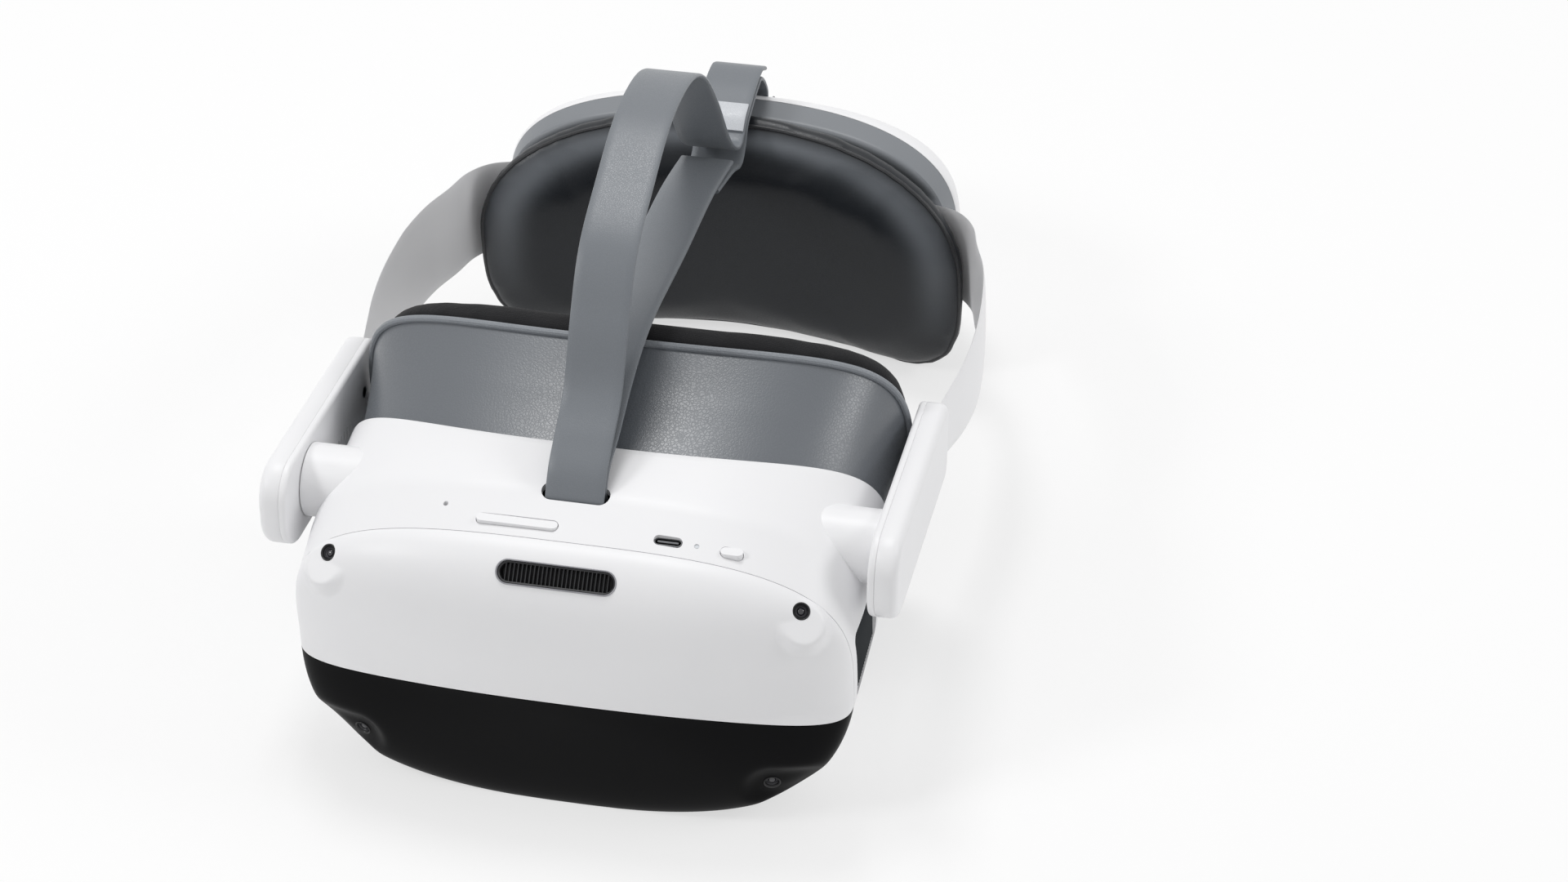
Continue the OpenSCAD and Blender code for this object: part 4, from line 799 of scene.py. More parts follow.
# Controls and fittings that keep their exact shape: buttons, socket, status light,
# microphone, strap bars, wear sensor and the hubs that the arms turn on.
dark_plastic = moulded_plastic("dark_plastic", (0.028, 0.029, 0.032), (0.02, 0.021, 0.024), roughness=0.45)
socket_steel = mottled("socket_steel", 1400.0, (0.16, 0.163, 0.17), (0.12, 0.123, 0.13),
                       least=0.25, spread=0.2, detail=4.0, Metallic=1.0)
light_pipe = mottled(
    "light_pipe", 700.0, (0.70, 0.73, 0.76), (0.60, 0.63, 0.66), least=0.2, spread=0.1)


def dress(material, *names):
    """Give CAD nodes a finish in place of their plain one."""
    for name in names:
        for held in nodes[name].material_slots:
            held.material = material


dress(white_plastic, "volume_rocker", "power_button", "pivot_hub_left", "pivot_hub_right")
dress(socket_steel, "usb_port")
dress(light_pipe, "status_led")
dress(dark_plastic, "microphone", "front_strap_bar", "rear_strap_bar", "proximity_sensor")

# Face shield: a grey leather-look skirt tucked into the back of the housing, ending in
# a rolled rim that is a little lighter than the sides.
shield_wall, rim_gap = 2.0, 0.3
shield_back, shield_sweep = 104.0, 14.0
tuck_size, rim_size, rim_squareness = (88.4, 3.8, 97.46), (91.5, 4.0, 111.0), 4.0


def leather(name, tone, darker, roughness, cell, depth, shine=0.5, painted_highlight_tone=None):
    """Coated leather cloth: pebbled cells, darker in the creases, and paler where a painted highlight is laid
    on.
    """
    material, wire = new_finish(name)
    place = own_place(wire)
    wander = wire.node("ShaderNodeTexNoise", {}, {"Vector": place, "Scale": cell * 0.4, "Detail": 2.0}, 1)
    shifted = wire.node("ShaderNodeVectorMath", {"operation": "SCALE"}, {0: wander, "Scale": 1.2 / cell})
    warped = wire.node("ShaderNodeVectorMath", {"operation": "ADD"}, {0: place, 1: shifted})
    cells = {"Vector": warped, "Scale": cell}
    pebble = wire.node("ShaderNodeTexVoronoi", {"feature": "DISTANCE_TO_EDGE"}, cells)
    ridge = wire.node("ShaderNodeMapRange", {}, {"Value": pebble, "From Max": 0.22})
    drift = speckle(wire, 26.0, 3.0)
    fine = speckle(wire, cell * 4.5)
    shade = drift * 0.55 + (1.0 - ridge) * 0.3
    colour = shade.blend_colours((*tone, 1.0), (*darker, 1.0))
    # Painted highlight: where the mesh's point attribute marks it, the base colour is blended towards the
    # pale tone given.
    if painted_highlight_tone:
        painted_highlight_mask = wire.node("ShaderNodeAttribute", {"attribute_name": "painted_highlight"}, {}, "Fac")
        colour = painted_highlight_mask.blend_colours(colour, (*painted_highlight_tone, 1.0))
    coat(wire, {
        "Base Color": colour,
        "Roughness": drift * 0.12 + (1.0 - ridge) * 0.1 + (roughness - 0.08),
        "Normal": relief(wire, depth, 0.00025, ridge * 0.75 + fine * 0.25),
        "Specular IOR Level": shine,
        "Sheen Weight": 0.06,
        "Sheen Roughness": 0.5,
    })
    return material


shield_leather = leather(
    "shield_leather", (0.118, 0.130, 0.146), (0.093, 0.103, 0.117),
    roughness=0.34, cell=900.0, depth=0.08, shine=0.7)
rim_leather = leather(
    "rim_leather", (0.235, 0.252, 0.275), (0.19, 0.205, 0.225), roughness=0.5, cell=1000.0, depth=0.3)


def shield_ring(y, share, sweep, inset=0.0):
    """A ring of the face shield: from the tuck inside the housing to the rim."""
    a, low, high = (f + (b - f) * share for f, b in zip(tuck_size, rim_size))
    top = squareness + (rim_squareness - squareness) * share
    return body_ring(y, a - inset, low + inset, high - inset, sweep, top)


# Depth, share of the way from the tuck to the rim, and sweep
shield_table = np.array([
    (56.0, 0.0, 23.0), (62.0, 0.02, 23.0), (82.5, 0.52, 18.5), (shield_back, 1.0, shield_sweep)])
waist_start, waist_depth = 60.0, 1.1


def shield_at(y, inset=0.0):
    """The shield at a depth, its sides drawn in a little between its two ends."""
    share, sweep = (np.interp(y, shield_table[:, 0], shield_table[:, k]) for k in (1, 2))
    run = np.clip((y - waist_start) / (shield_back - waist_start), 0, 1)
    return shield_ring(y, share, sweep, inset + waist_depth * math.sin(math.pi * run))


shield_depths = np.linspace(shield_table[0, 0], shield_back, 26)
rolled = [(0.35, -0.15), (1.0, 0.1), (1.65, -0.15)]
shield_rings = [shield_at(y) for y in shield_depths]
shield_rings += [shield_ring(shield_back, 1.0, shield_sweep, d) + (0, rise, 0) for d, rise in rolled]
shield_rings += [shield_at(y, shield_wall) for y in shield_depths[::-1]]
shield = ring_piece("face_shield_skirt", shield_rings, shield_leather)
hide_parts("face_shield")
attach(shield, "front")


def along(path):
    """Each row of vectors at unit length."""
    return path / np.linalg.norm(path, axis=1, keepdims=True)


def tube(name, path, material, radius, sides=10):
    """A round tube along a closed path of points."""
    path = np.asarray(path)
    heading = along(np.roll(path, -1, axis=0) - np.roll(path, 1, axis=0))
    out = path - path.mean(axis=0)
    out = along(out - np.sum(out * heading, axis=1, keepdims=True) * heading)
    across = np.cross(heading, out)
    turn = all_round(sides)[None, :, None]
    rings = path[:, None] + radius * (out[:, None] * np.cos(turn) + across[:, None] * np.sin(turn))
    return ring_piece(name, rings, material)


bead_path = shield_ring(shield_back - 1.6, 0.965, shield_sweep, -0.15)
rim_bead = tube("shield_rim_bead", bead_path, rim_leather, radius=1.25)
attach(rim_bead, "front")

# Face cushion: foam wrapped in soft black cloth, glued on a ring behind the shield's
# rim and arched over the nose.
cushion_band, cushion_thickness = 13.0, 11.0
brow_half_w, brow_extra, brow_low, brow_blend = 66.0, 3.2, 70.0, 25.0
glue_depth, glue_fade = 3.0, 2.0
cushion_form = [(0.12, 0.02), (0.12, 0.3), (0.15, 0.62), (0.22, 0.88), (0.37, 1.02), (0.6, 1.04),
                (0.82, 0.9), (0.93, 0.55), (0.88, 0.02), (0.6, 0.0), (0.35, 0.0)]
cushion_cloth, wire = new_finish("cushion_cloth")
threads = {"Vector": own_place(wire), "Scale": 1500.0, "Randomness": 0.35}
weave = wire.node("ShaderNodeTexVoronoi", {"feature": "F1"}, threads)
fuzz = speckle(wire, 160.0, 4.0)
shade = weave * 0.6 + fuzz * 0.4
coat(wire, {
    "Base Color": shade.blend_colours((0.010, 0.010, 0.0115, 1.0), (0.005, 0.005, 0.006, 1.0)),
    "Roughness": fuzz * 0.15 + 0.75,
    "Normal": relief(wire, 0.5, 0.0003, weave),
    "Specular IOR Level": 0.2,
    "Sheen Weight": 0.06,
    "Sheen Roughness": 0.45,
})


def own_points(piece):
    """The points of a piece in millimetres, with depth counted from the front of the visor."""
    return np.array([v.co for v in piece.data.vertices]) / MM - (0, front_depth, 0)


def even_out(piece, iterations):
    even = piece.modifiers.new("even", "SMOOTH")
    even.factor = 0.5
    even.iterations = iterations


def stuff(piece, voxel, cap, held):
    """Fill a closed cover with foam: cloth under pressure, its held points kept in place."""
    pattern = bpy.data.objects.new("pattern", piece.data.copy())
    scene.collection.objects.link(pattern)
    fine = piece.modifiers.new("weave", "REMESH")
    fine.mode = "VOXEL"
    fine.voxel_size = voxel * MM
    settle(piece)
    even_out(piece, 5)
    fit = piece.modifiers.new("fit", "SHRINKWRAP")
    fit.target = pattern
    settle(piece)
    bpy.data.objects.remove(pattern)
    points = np.array([v.co for v in piece.data.vertices])
    keep = piece.vertex_groups.new(name="held")
    still = held(own_points(piece))
    for k in np.flatnonzero(still > 0):
        keep.add([int(k)], float(still[k]), "REPLACE")
    cloth = piece.modifiers.new("cover", "CLOTH")
    cloth.settings.quality = 5
    cloth.settings.use_pressure = True
    cloth.settings.uniform_pressure_force = 4.0
    cloth.settings.effector_weights.gravity = 0.0
    cloth.settings.vertex_group_mass = "held"
    cloth.collision_settings.use_collision = False
    for moment in range(1, 21):
        scene.frame_set(moment)
    swollen = piece.evaluated_get(bpy.context.evaluated_depsgraph_get()).to_mesh()
    moved = np.array([v.co for v in swollen.vertices]) - points
    piece.modifiers.clear()
    scene.frame_set(1)
    size = np.linalg.norm(moved, axis=1, keepdims=True)
    points = points + moved * np.minimum(1, cap * MM / np.maximum(size, 1e-9))
    piece.data.vertices.foreach_set("co", points.ravel())
    piece.vertex_groups.clear()
    even_out(piece, 4)
    fine = piece.modifiers.new("fine", "SUBSURF")
    fine.levels = fine.render_levels = 1
    return smooth(settle(piece), 80)


def glued_to_rim(points):
    """Points of the cushion near its backing ring."""
    depth = points[:, 1] - shield_sweep * (np.abs(points[:, 0]) / rim_size[0]) ** 3
    return np.clip((shield_back + glue_depth - depth) / glue_fade, 0, 1)


cushion_rings = []
for d, f in cushion_form:
    ring = shield_ring(shield_back + rim_gap + f * cushion_thickness, 1.0, shield_sweep, d * cushion_band)
    brow = np.exp(-((ring[:, 0] / brow_half_w) ** 4)) * np.clip((ring[:, 2] - brow_low) / brow_blend, 0, 1)
    cushion_rings.append(ring + np.outer(brow, (0, f * brow_extra, 0)))
cushion = ring_piece("face_cushion_pad", cushion_rings, cushion_cloth)
stuff(cushion, voxel=2.6, cap=1.2, held=glued_to_rim)
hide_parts("face_cushion")
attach(cushion, "front")

# Side arms: two moulded halves each, a plate with slits for sound and a rounded cover,
# screwed together round a speaker and turning on the housing's hubs.
arm_inner_x, arm_slope = 93.3, math.radians(9)
plate_thickness, cover_thickness = 2.4, 7.1
arm_front, arm_rear, arm_height = -25.0, 71.0, 29.5
front_radius, rear_radius = 12.0, 6.0
speaker_at, slit_pitch = 34.0, 3.0


def arm_place(side, x):
    """A place on an arm: X runs back along it, Y up, Z outwards."""
    run = Vector((0, math.cos(arm_slope), -math.sin(arm_slope)))
    rise = Vector((0, math.sin(arm_slope), math.cos(arm_slope)))
    return Matrix.Translation((side * x, pivot_y, pivot_z)) @ Matrix(
        (run, rise, Vector((side, 0, 0)))).transposed().to_4x4()


def arm_outline(inset):
    """The arm's outline, drawn in by inset: a large radius in front, a small one behind."""
    back, front = (max(0.3, radius - inset) for radius in (rear_radius, front_radius))
    back_x, back_z = arm_rear - inset - back, arm_height / 2 - inset - back
    front_x, front_z = arm_front + inset + front, arm_height / 2 - inset - front
    return round_corners([
        (back_x, back_z, back), (front_x, front_z, front),
        (front_x, -front_z, front), (back_x, -back_z, back),
    ], 12)


def arm_half(name, side, x, steps):
    return ring_piece(name, stacked(arm_place(side, x), steps, arm_outline), white_plastic, caps=True)


outer_edge, inner_edge = 3.0, 1.4
cover_steps = [(4.0, 0.05), (0.15, 0.05), (0.0, 0.3)]
cover_steps += [(outer_edge * (1 - math.cos(t)), cover_thickness - outer_edge * (1 - math.sin(t)))
                for t in np.linspace(0, np.pi / 2, 9)]
cover_steps += [(inset, cover_thickness) for inset in (6.0, 9.0, 12.0)]
plate_steps = [(12.0, 0.0), (6.0, 0.0)]
plate_steps += [(inner_edge * (1 - math.sin(t)), inner_edge * (1 - math.cos(t)))
                for t in np.linspace(0, np.pi / 2, 6)]
plate_steps += [(0.0, plate_thickness - 0.2), (0.15, plate_thickness), (4.0, plate_thickness)]
slit = rounded_outline(1.4, arm_height / 3, 0.6)
for side, hand in ((-1, "left"), (1, "right")):
    cover = arm_half(f"arm_cover_{hand}_shell", side, arm_inner_x + plate_thickness, cover_steps)
    plate = arm_half(f"arm_plate_{hand}_shell", side, arm_inner_x, plate_steps)
    slit_places = [arm_place(side, arm_inner_x) @ Matrix.Translation(
        (speaker_at + slit_pitch * k, -arm_height / 4, 0)) for k in range(-2, 3)]
    cut_out(plate, [prism(slit, low=-2, high=2, place=place) for place in slit_places])
    for part, node in ((cover, f"arm_cover_{hand}"), (plate, f"arm_plate_{hand}")):
        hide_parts(node)
        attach(part, "arms")

# Side bands: springy white plastic strips that leave the arms, bow round the head and
# run into the rear housing, where a rack draws them in.
band_x, band_bow, band_thickness = 98.7, 5.3, 2.0
arm_end_y = pivot_y + arm_rear * math.cos(arm_slope)
arm_end_z = pivot_z - arm_rear * math.sin(arm_slope)
pad_front, pad_thickness, pad_half_w, pad_top = 244.0, 16.0, 90.0, 94.0
rear_sag, band_start_h, band_full_h, dial_z = 20.0, 24.0, 38.0, 50.0
slot_mid = 261.6


def rear_curve(x):
    return -rear_sag * (x / pad_half_w) ** 2


def slot_point(x):
    return x, slot_mid + rear_curve(x)


def curve_through(points, steps):
    """A smooth curve through points, with so many steps between each two."""
    p = np.asarray(points, float)
    padded = np.concatenate((p[:1], p, p[-1:]))
    f = np.linspace(0, 1, steps, endpoint=False)[:, None]
    runs = []
    for a, b, c, d in zip(padded[:-3], padded[1:-2], padded[2:-1], padded[3:]):
        runs.append(0.5 * (2 * b + (c - a) * f + (2 * a - 5 * b + 4 * c - d) * f ** 2
                           + (3 * b - a - 3 * c + d) * f ** 3))
    return np.concatenate(runs + [p[-1:]])


band_mid = (arm_end_y + pad_front) / 2
band_route = curve_through([
    (band_x, arm_end_y - 5), (band_x + 0.1, arm_end_y + 3), (band_x + band_bow * 0.36, arm_end_y + 14),
    (band_x + band_bow * 0.81, arm_end_y + 29), (band_x + band_bow, band_mid - 13),
    (band_x + band_bow * 0.8, band_mid + 7), (band_x + band_bow * 0.3, pad_front - 35),
    (pad_half_w + 5.8, pad_front - 21), (pad_half_w + 2.3, pad_front - 9),
    slot_point(pad_half_w - 4.5), slot_point(74.5), slot_point(61),
], 9)
along_band = np.linspace(0, 1, len(band_route))
ease = (1 - along_band) ** 1.6
band_height = arm_end_z * ease + dial_z * (1 - ease)
band_half = (band_start_h + (band_full_h - band_start_h) * np.clip((along_band - 0.12) * 3, 0, 1)) / 2
band_ahead = along(np.gradient(band_route, axis=0))
band_section = rounded_outline(1.0, 1.0, 0.5, 5)


def band(name, side):
    rings = []
    for (x, y), (hx, hy), z, half in zip(band_route, band_ahead, band_height, band_half):
        section = []
        for across, up in band_section:
            offset = across * band_thickness
            section.append((side * (x + offset * hy), y - offset * hx, z + up * 2 * half))
        rings.append(section)
    return ring_piece(name, rings, white_plastic, caps=True)


for side, hand in ((-1, "left"), (1, "right")):
    strip = band(f"band_{hand}_strip", side)
    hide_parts(f"band_{hand}")
    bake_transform(strip)

# Rear pad: a foam cushion in dark leather cloth, piped round its edge, that rests
# against the back of the head with a lobe at each side of the neck.
pad_mid, pad_top_b, pad_low_b, pad_arch = 44.0, 50.0, 50.0, 5.5
pad_squareness, lobe_squareness = 2.5, 3.8
sewn_depth, sewn_fade, piping_at = 4.0, 3.0, 0.56
# Painted highlight on the pad: a pale band along the front shoulder, stronger towards the top. These give
# where the band lies in the outline's share and how wide it is, the height where it starts and the height
# over which it grows, and how far back it reaches and fades.
highlight_at, highlight_width, highlight_low, highlight_rise = 0.885, 0.075, 18.0, 48.0
highlight_depth, highlight_fade = 0.55, 0.2
pad_shoulder = [(0.05, 0.04), (0.3, 0.04), (0.55, 0.045), (0.7, 0.07), (0.8, 0.12), (0.88, 0.205),
                (0.94, 0.32), (0.978, 0.46), (0.992, 0.62), (0.985, 0.82), (0.95, 1.0)]
pad_form = curve_through(pad_shoulder, 3).tolist() + [(0.72, 1.0), (0.5, 1.0), (0.25, 1.0), (0.05, 1.0)]
# The pad's pale tone is a painted highlight laid along its upper shoulder.
pad_leather = leather(
    "pad_leather", (0.012, 0.0145, 0.0185), (0.008, 0.0098, 0.013),
    roughness=0.35, cell=1100.0, depth=0.05, shine=0.32, painted_highlight_tone=(0.150, 0.163, 0.180))
piping_leather = leather(
    "piping_leather", (0.014, 0.015, 0.018), (0.009, 0.010, 0.012), roughness=0.4, cell=1400.0, depth=0.25)


def outline_ring(y, share, top_b, top_squareness, arch_height, inset=0.0, fall=0.0):
    """A ring of the pad's outline, or of the housing's behind it, drawn in by inset."""
    t = all_round(RING)
    up = np.sin(t) >= -1e-9
    wide = pad_half_w * share - inset
    upper = squared_radius(t, wide, top_b * share - inset, top_squareness)
    lower = squared_radius(t, wide, pad_low_b * share - inset, lobe_squareness)
    r = np.where(up, upper, lower)
    x = r * np.cos(t)
    arch = arch_height * np.maximum(0, 1 - (x / (0.8 * pad_half_w)) ** 2)
    lift = share * np.where(up, fall, arch) * np.sin(t)
    return np.stack((x, y + rear_curve(x), np.maximum(0, pad_mid + r * np.sin(t) - lift)), axis=-1)


def pad_ring(y, share):
    return outline_ring(y, share, pad_top_b, pad_squareness, pad_arch)


def sewn_to_back(points):
    """Points of the pad near the plate behind it."""
    depth = points[:, 1] - rear_curve(points[:, 0])
    return np.clip((depth - pad_front - pad_thickness + sewn_depth) / sewn_fade, 0, 1)


pad = ring_piece("rear_pad_cushion", [
    pad_ring(pad_front + f * pad_thickness, k) for k, f in pad_form], pad_leather, caps=True)
stuff(pad, voxel=2.9, cap=2.0, held=sewn_to_back)
pad_x, pad_y, pad_z = own_points(pad).T
rise = pad_z - pad_mid
power = np.where(rise > 0, pad_squareness, lobe_squareness)
out_share = (np.abs(pad_x / pad_half_w) ** power + np.abs(rise / pad_top_b) ** power) ** (1 / power)
pad_depth = (pad_y - rear_curve(pad_x) - pad_front) / pad_thickness
# Painted highlight: a band round the front shoulder, growing towards the top, kept to the front of the pad.
painted_highlight = np.exp(-(((out_share - highlight_at) / highlight_width) ** 2)) * np.clip((pad_z - highlight_low) / highlight_rise, 0, 1)
painted_highlight *= np.clip((highlight_depth - pad_depth) / highlight_fade, 0, 1)
pad.data.attributes.new("painted_highlight", "FLOAT", "POINT").data.foreach_set("value", painted_highlight)
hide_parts("rear_pad")
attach(pad, "rear")

pad_skin = pad.evaluated_get(bpy.context.evaluated_depsgraph_get())


def on_pad_edge(y):
    """Points where rays from all round, drawn to the pad's middle at a depth, meet its side."""
    landed = []
    for far, near in zip(pad_ring(y, 1.2), pad_ring(y, 0.8)):
        start = Vector(far + (0, front_depth, 0)) * MM
        hit, place, _, _ = pad_skin.ray_cast(start, Vector(near - far).normalized())
        landed.append(np.array(place) / MM - (0, front_depth, 0) if hit else near)
    return landed


piping_path = on_pad_edge(pad_front + piping_at * pad_thickness)
piping = tube("pad_piping", piping_path, piping_leather, radius=0.8, sides=8)
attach(piping, "rear")

# Rear housing: a grey moulded cup that faces the pad and a white shell closing it
# behind; the batteries and the band drive sit between them.
cover_front, cover_share, rear_share = 263.2, 0.91, 0.925
shell_front, shell_depth, shell_fall = 274.2, 17.0, 14.0
rear_wall, rear_slot, rear_slot_y, rear_top = 2.0, (24.0, 7.8), 281.7, 84.61
rear_top_b, rear_squareness, rear_arch = 48.0, 3.5, 8.0
cover_grey = moulded_plastic("cover_grey", (0.215, 0.228, 0.245), (0.19, 0.202, 0.218), roughness=0.42)
cup_steps = [(0.05, 0.0), (0.3, 0.0), (0.6, 0.0), (0.8, 0.0), (0.865, 0.05), (0.885, 0.3), (0.9, 0.9),
             (0.908, 1.6), (cover_share, 2.4), (0.916, 5.5), (rear_share, 10.7)]


def rear_ring(y, share, inset=0.0, fall=0.0):
    return outline_ring(y, share, rear_top_b, rear_squareness, rear_arch, inset, fall)


cup_rings = [rear_ring(cover_front + dy, k) for k, dy in cup_steps]
cup_rings += [rear_ring(cover_front + max(dy, rear_wall), k, rear_wall if k > 0.8 else 0.0)
              for k, dy in cup_steps[::-1]]
rear_cover = ring_piece("rear_cover_cup", cup_rings, cover_grey, caps=True)
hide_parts("rear_cover")
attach(rear_cover, "rear")

shell_side = [(1.0, 0.0), (1.005, 0.15), (0.99, 0.55), (0.95, 0.85), (0.88, 1.0), (0.72, 1.0)]
shell_form = np.concatenate((curve_through(shell_side, 6), [(0.5, 1.0), (0.25, 1.0), (0.05, 1.0)]))


def shell_rings(inset):
    rings = []
    for k, f in shell_form:
        f = min(f, 1.0)
        back_y = shell_front + f * shell_depth - (inset * f if f > 0.5 else 0)
        fall = shell_fall * max(0, f) ** 1.5
        rings.append(rear_ring(back_y, rear_share * k, inset if k > 0.8 else 0.0, fall))
    return rings


both_skins = shell_rings(rear_wall)[::-1] + shell_rings(0.0)
rear_shell = ring_piece("rear_shell_cup", both_skins, white_plastic, caps=True)
slot_place = Matrix.Translation((0, rear_slot_y, rear_top))
cut_out(rear_shell, [prism(slot_outline(*rear_slot), low=-6, high=24, place=slot_place)])
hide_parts("rear_shell")
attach(rear_shell, "rear")

# Adjusting dial: a grey knob with ribs round its edge and a shallow dished face, pressed
# on the shaft that drives the bands.
dial_front, dial_radius, dial_ribs, rib_radius = 291.5, 23.0, 30, 1.2
dial_place = looking((0, dial_front, dial_z), (0, 1, 0))
dial_profile = [(1.5, 0.0), (10.0, 0.0), (20.6, 0.0), (21.6, 0.3), (21.9, 1.0), (21.9, 8.0), (21.6, 8.9),
                (20.8, 9.6), (19.6, 9.95), (18.2, 9.9), (16.8, 9.3), (15.6, 8.75), (12.0, 8.6), (6.0, 8.55),
                (1.5, 8.55)]
dial_grey = moulded_plastic("dial_grey", (0.118, 0.126, 0.138), (0.095, 0.102, 0.113), roughness=0.46)
knob = ring_piece("dial_knob_turned", lathe(dial_profile, 96, dial_place), dial_grey, caps=True)

# Ribs stand round a circle, each a rounded rod along the dial's axis
rib_tree, rib_in, rib_out = node_group("rib_circle", {
    "Count": "Int", "Radius": "Float", "Rib Radius": "Float", "Rib Length": "Float", "Material": "Material",
})
circle, rod, rod_size, rod_shape, stand = add_nodes(
    rib_tree, "GeometryNodeMeshCircle", "GeometryNodeMeshUVSphere", "ShaderNodeCombineXYZ",
    "GeometryNodeTransform", "GeometryNodeInstanceOnPoints")
preset(rod, Segments=10, Rings=8)
connect(
    rib_tree,
    (rib_in, "Count", circle, "Vertices"),
    (rib_in, "Radius", circle, "Radius"),
    (rib_in, "Rib Radius", rod_size, "X"),
    (rib_in, "Rib Radius", rod_size, "Y"),
    (rib_in, "Rib Length", rod_size, "Z"),
    (rod_size, "Vector", rod_shape, "Scale"),
    (rod, "Mesh", rod_shape, "Geometry"),
    (circle, "Mesh", stand, "Points"),
    (rod_shape, "Geometry", stand, "Instance"),
)
finish_tree(rib_tree, rib_in, rib_out, stand)
ribs = grow("dial_ribs", rib_tree, {
    "Count": dial_ribs, "Radius": dial_radius - 1.25, "Rib Radius": rib_radius, "Rib Length": 5.4,
}, dial_place @ Matrix.Translation((0, 0, 4.7)), dial_grey)
for part in (knob, ribs):
    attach(part, "dial")
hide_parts("dial_knob")

# Top straps: flat bands of grey coated webbing. One arches over the head and folds round
# the bar in the front slot; a shorter one folds round the bar in the rear housing.
strap_width, strap_thickness, strap_arch = 19.0, 1.6, 67.0
strap_grey = leather(
    "strap_grey", (0.176, 0.191, 0.210), (0.146, 0.159, 0.176),
    roughness=0.38, cell=1500.0, depth=0.1, shine=0.45)
bar_loop, slot_side, slot_in = 2.7, 2.3, 2.6


def over_head(s, h):
    return strap_slot_y + s * (pad_front - strap_slot_y), housing_top + h * strap_arch


def over_pad(y, z):
    return pad_front + y, pad_top + z


def under_bar(y, z):
    """Points round the underside of a bar, from its front to its rear."""
    return [(y - bar_loop * math.cos(t), z - bar_loop * math.sin(t)) for t in np.linspace(0, np.pi, 5)]


front_run = [over_pad(36, 4), over_pad(30, 7.3), over_pad(21, 7.8), over_pad(11.5, 6.4), over_pad(3, 4.6),
             over_pad(-2.4, 1.4), over_pad(-7, 0.2), over_pad(-13, 3.2), over_pad(-23, 14),
             over_head(0.813, 0.49), over_head(0.734, 0.8), over_head(0.64, 0.96), over_head(0.512, 1),
             over_head(0.379, 0.9), over_head(0.266, 0.77), over_head(0.192, 0.53), over_head(0.128, 0.26),
             over_head(0.06, 0.135), over_head(0.02, 0.06), (strap_slot_y - slot_side / 2, slot_top),
             (strap_slot_y - slot_side, slot_top - slot_in)]
front_run += under_bar(strap_slot_y, slot_top - 6)
front_run += [(strap_slot_y + slot_side, slot_top - slot_in), (strap_slot_y + slot_side, slot_top + 0.8),
              over_head(0.04, 0.05), over_head(0.1, 0.09), over_head(0.18, 0.17), over_head(0.27, 0.22),
              over_head(0.37, 0.21), over_head(0.55, 0.12), over_head(0.75, 0.04), over_pad(-20, 2)]
rear_run = [over_head(0.79, -0.02), over_pad(-20, -2), over_pad(-8, -7.5), over_pad(-1, -4.5),
            over_pad(4, 1), over_pad(12, 3.2), over_pad(21, 4.8), over_pad(29, 4.2),
            (rear_slot_y - slot_side / 2, rear_top + 4), (rear_slot_y - slot_side, rear_top - slot_in)]
rear_run += under_bar(rear_slot_y, rear_top - 9) + [(rear_slot_y + bar_loop, rear_top - 8.2)]
patch_run = [over_pad(-2.32, 2.88), over_pad(2.56, 5.81), over_pad(8.11, 7.12)]


def strap(name, run, width, thickness, material):
    """A flat strip along a run in the middle plane, its edges rounded."""
    path = curve_through(run, 7)
    ahead = along(np.gradient(path, axis=0))
    half = thickness / 2
    across = np.linspace(-1, 1, 9) * (width - thickness) / 2
    half_turn = np.linspace(-np.pi / 2, np.pi / 2, 5)[1:-1]
    section = [(x, half) for x in across]
    section += [(across[-1] + half * math.cos(t), -half * math.sin(t)) for t in half_turn]
    section += [(x, -half) for x in across[::-1]]
    section += [(across[0] - half * math.cos(t), half * math.sin(t)) for t in half_turn]
    rings = [[(x, y - d * hz, z + d * hy) for x, d in section] for (y, z), (hy, hz) in zip(path, ahead)]
    return ring_piece(name, rings, material, caps=True)


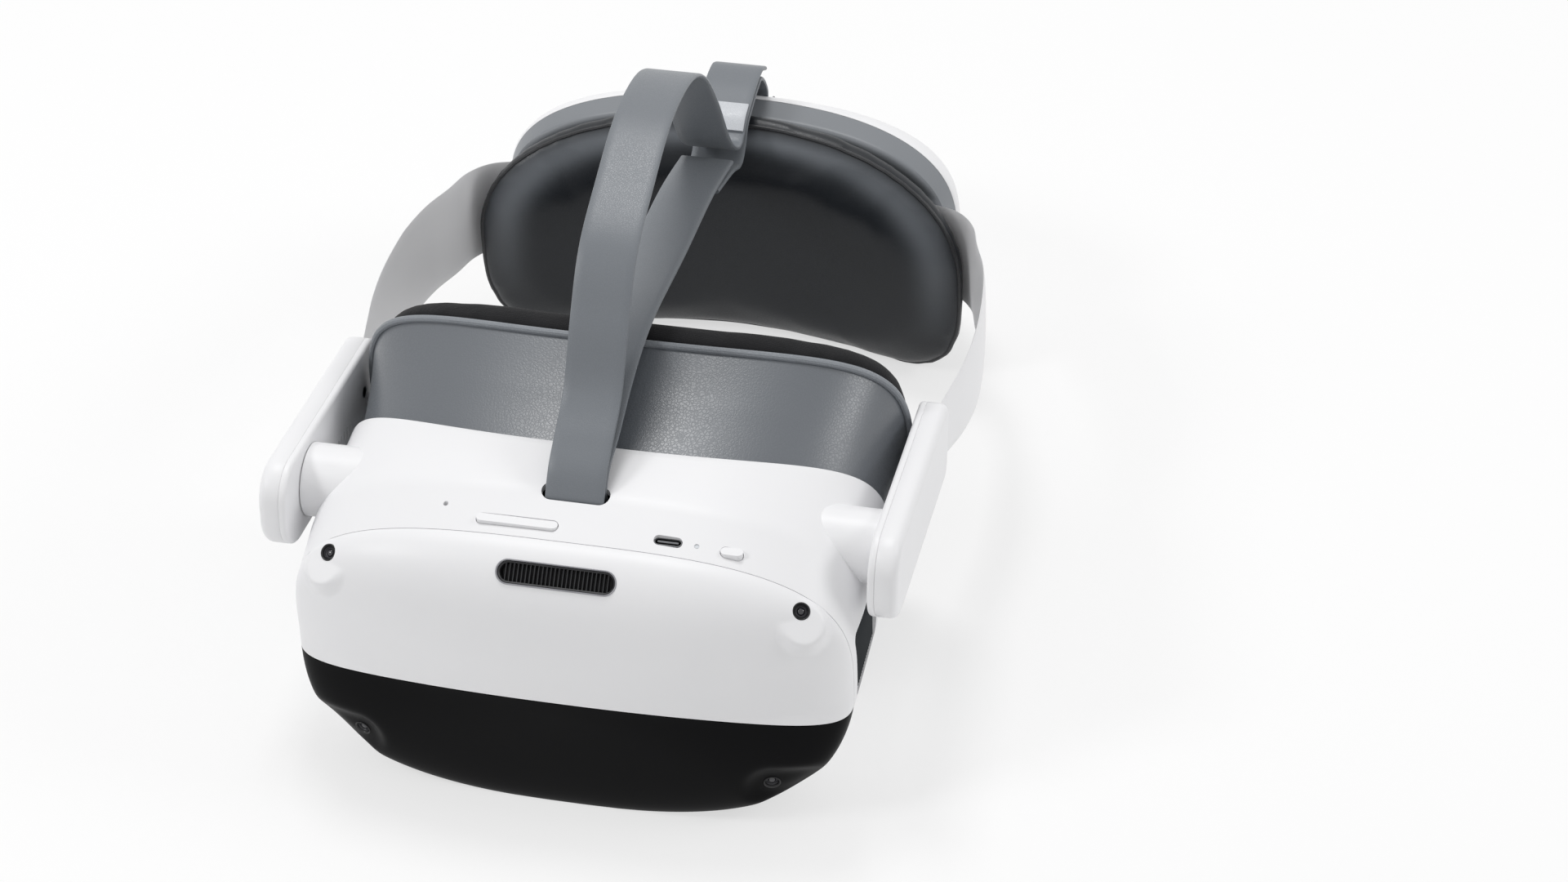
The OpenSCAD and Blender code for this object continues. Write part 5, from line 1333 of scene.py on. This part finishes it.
front_strap = strap("front_strap_webbing", front_run, strap_width, strap_thickness, strap_grey)
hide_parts("front_strap")
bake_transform(front_strap)
rear_strap = strap("rear_strap_webbing", rear_run, strap_width, strap_thickness, strap_grey)
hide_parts("rear_strap")
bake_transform(rear_strap)
patch_pile = leather(
    "patch_pile", (0.60, 0.62, 0.65), (0.42, 0.44, 0.47), roughness=0.34, cell=1600.0, depth=0.2)
patch = strap("hook_patch_pile", patch_run, strap_width - 1.0, 0.8, patch_pile)
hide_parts("hook_patch")
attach(patch, "arms")

# Optics and electronics inside: lens barrels on rails before the display, the fan and
# its sink, boards, cells and gear, all in their exact shape with their own finishes.
eye_glass = mottled("eye_glass", 240.0, (0.83, 0.87, 0.93), (0.78, 0.83, 0.90),
                    least=0.02, spread=0.02, Transmission_Weight=0.92, IOR=1.49)
panel_glass = mottled(
    "panel_glass", 300.0, (0.010, 0.011, 0.016), (0.016, 0.015, 0.022), least=0.06, spread=0.04)
bright_metal = mottled("bright_metal", 900.0, (0.62, 0.63, 0.65), (0.50, 0.51, 0.53),
                       least=0.26, spread=0.2, detail=4.0, Metallic=1.0)
board_green, wire = new_finish("board_green")
tracks = wire.node("ShaderNodeTexBrick", {}, {
    "Vector": own_place(wire), "Scale": 260.0, "Mortar Size": 0.05, "Mortar": (0.03, 0.11, 0.06, 1.0),
    "Color1": (0.012, 0.052, 0.028, 1.0), "Color2": (0.010, 0.042, 0.022, 1.0),
})
gloss = speckle(wire, 300.0)
coat(wire, {"Base Color": tracks, "Roughness": gloss * 0.15 + 0.3})
cell_wrap, wire = new_finish("cell_wrap")
crinkle = speckle(wire, 320.0, 4.0)
coat(wire, {
    "Base Color": crinkle.blend_colours((0.05, 0.11, 0.23, 1.0), (0.035, 0.085, 0.19, 1.0)),
    "Roughness": crinkle * 0.15 + 0.3,
    "Normal": relief(wire, 0.25, 0.0003, crinkle),
})
dress(black_plastic, "lens_barrel_left", "lens_barrel_right", "inner_bezel", "fan_rotor", "fan_housing")
dress(dark_plastic, "optics_frame", "pad_plate", "rack_guide", "rack_left", "rack_right", "speaker_left",
      "speaker_right")
dress(eye_glass, "lens_left", "lens_right")
dress(panel_glass, "display_panel")
dress(bright_metal, "heat_sink", "ipd_rails", "frame_screws", "fan_pin", "arm_screws", "pivot_pin_left",
      "pivot_pin_right", "dial_shaft")
dress(board_green, "mainboard", "interface_board", "battery_board")
dress(cell_wrap, "battery_cells")
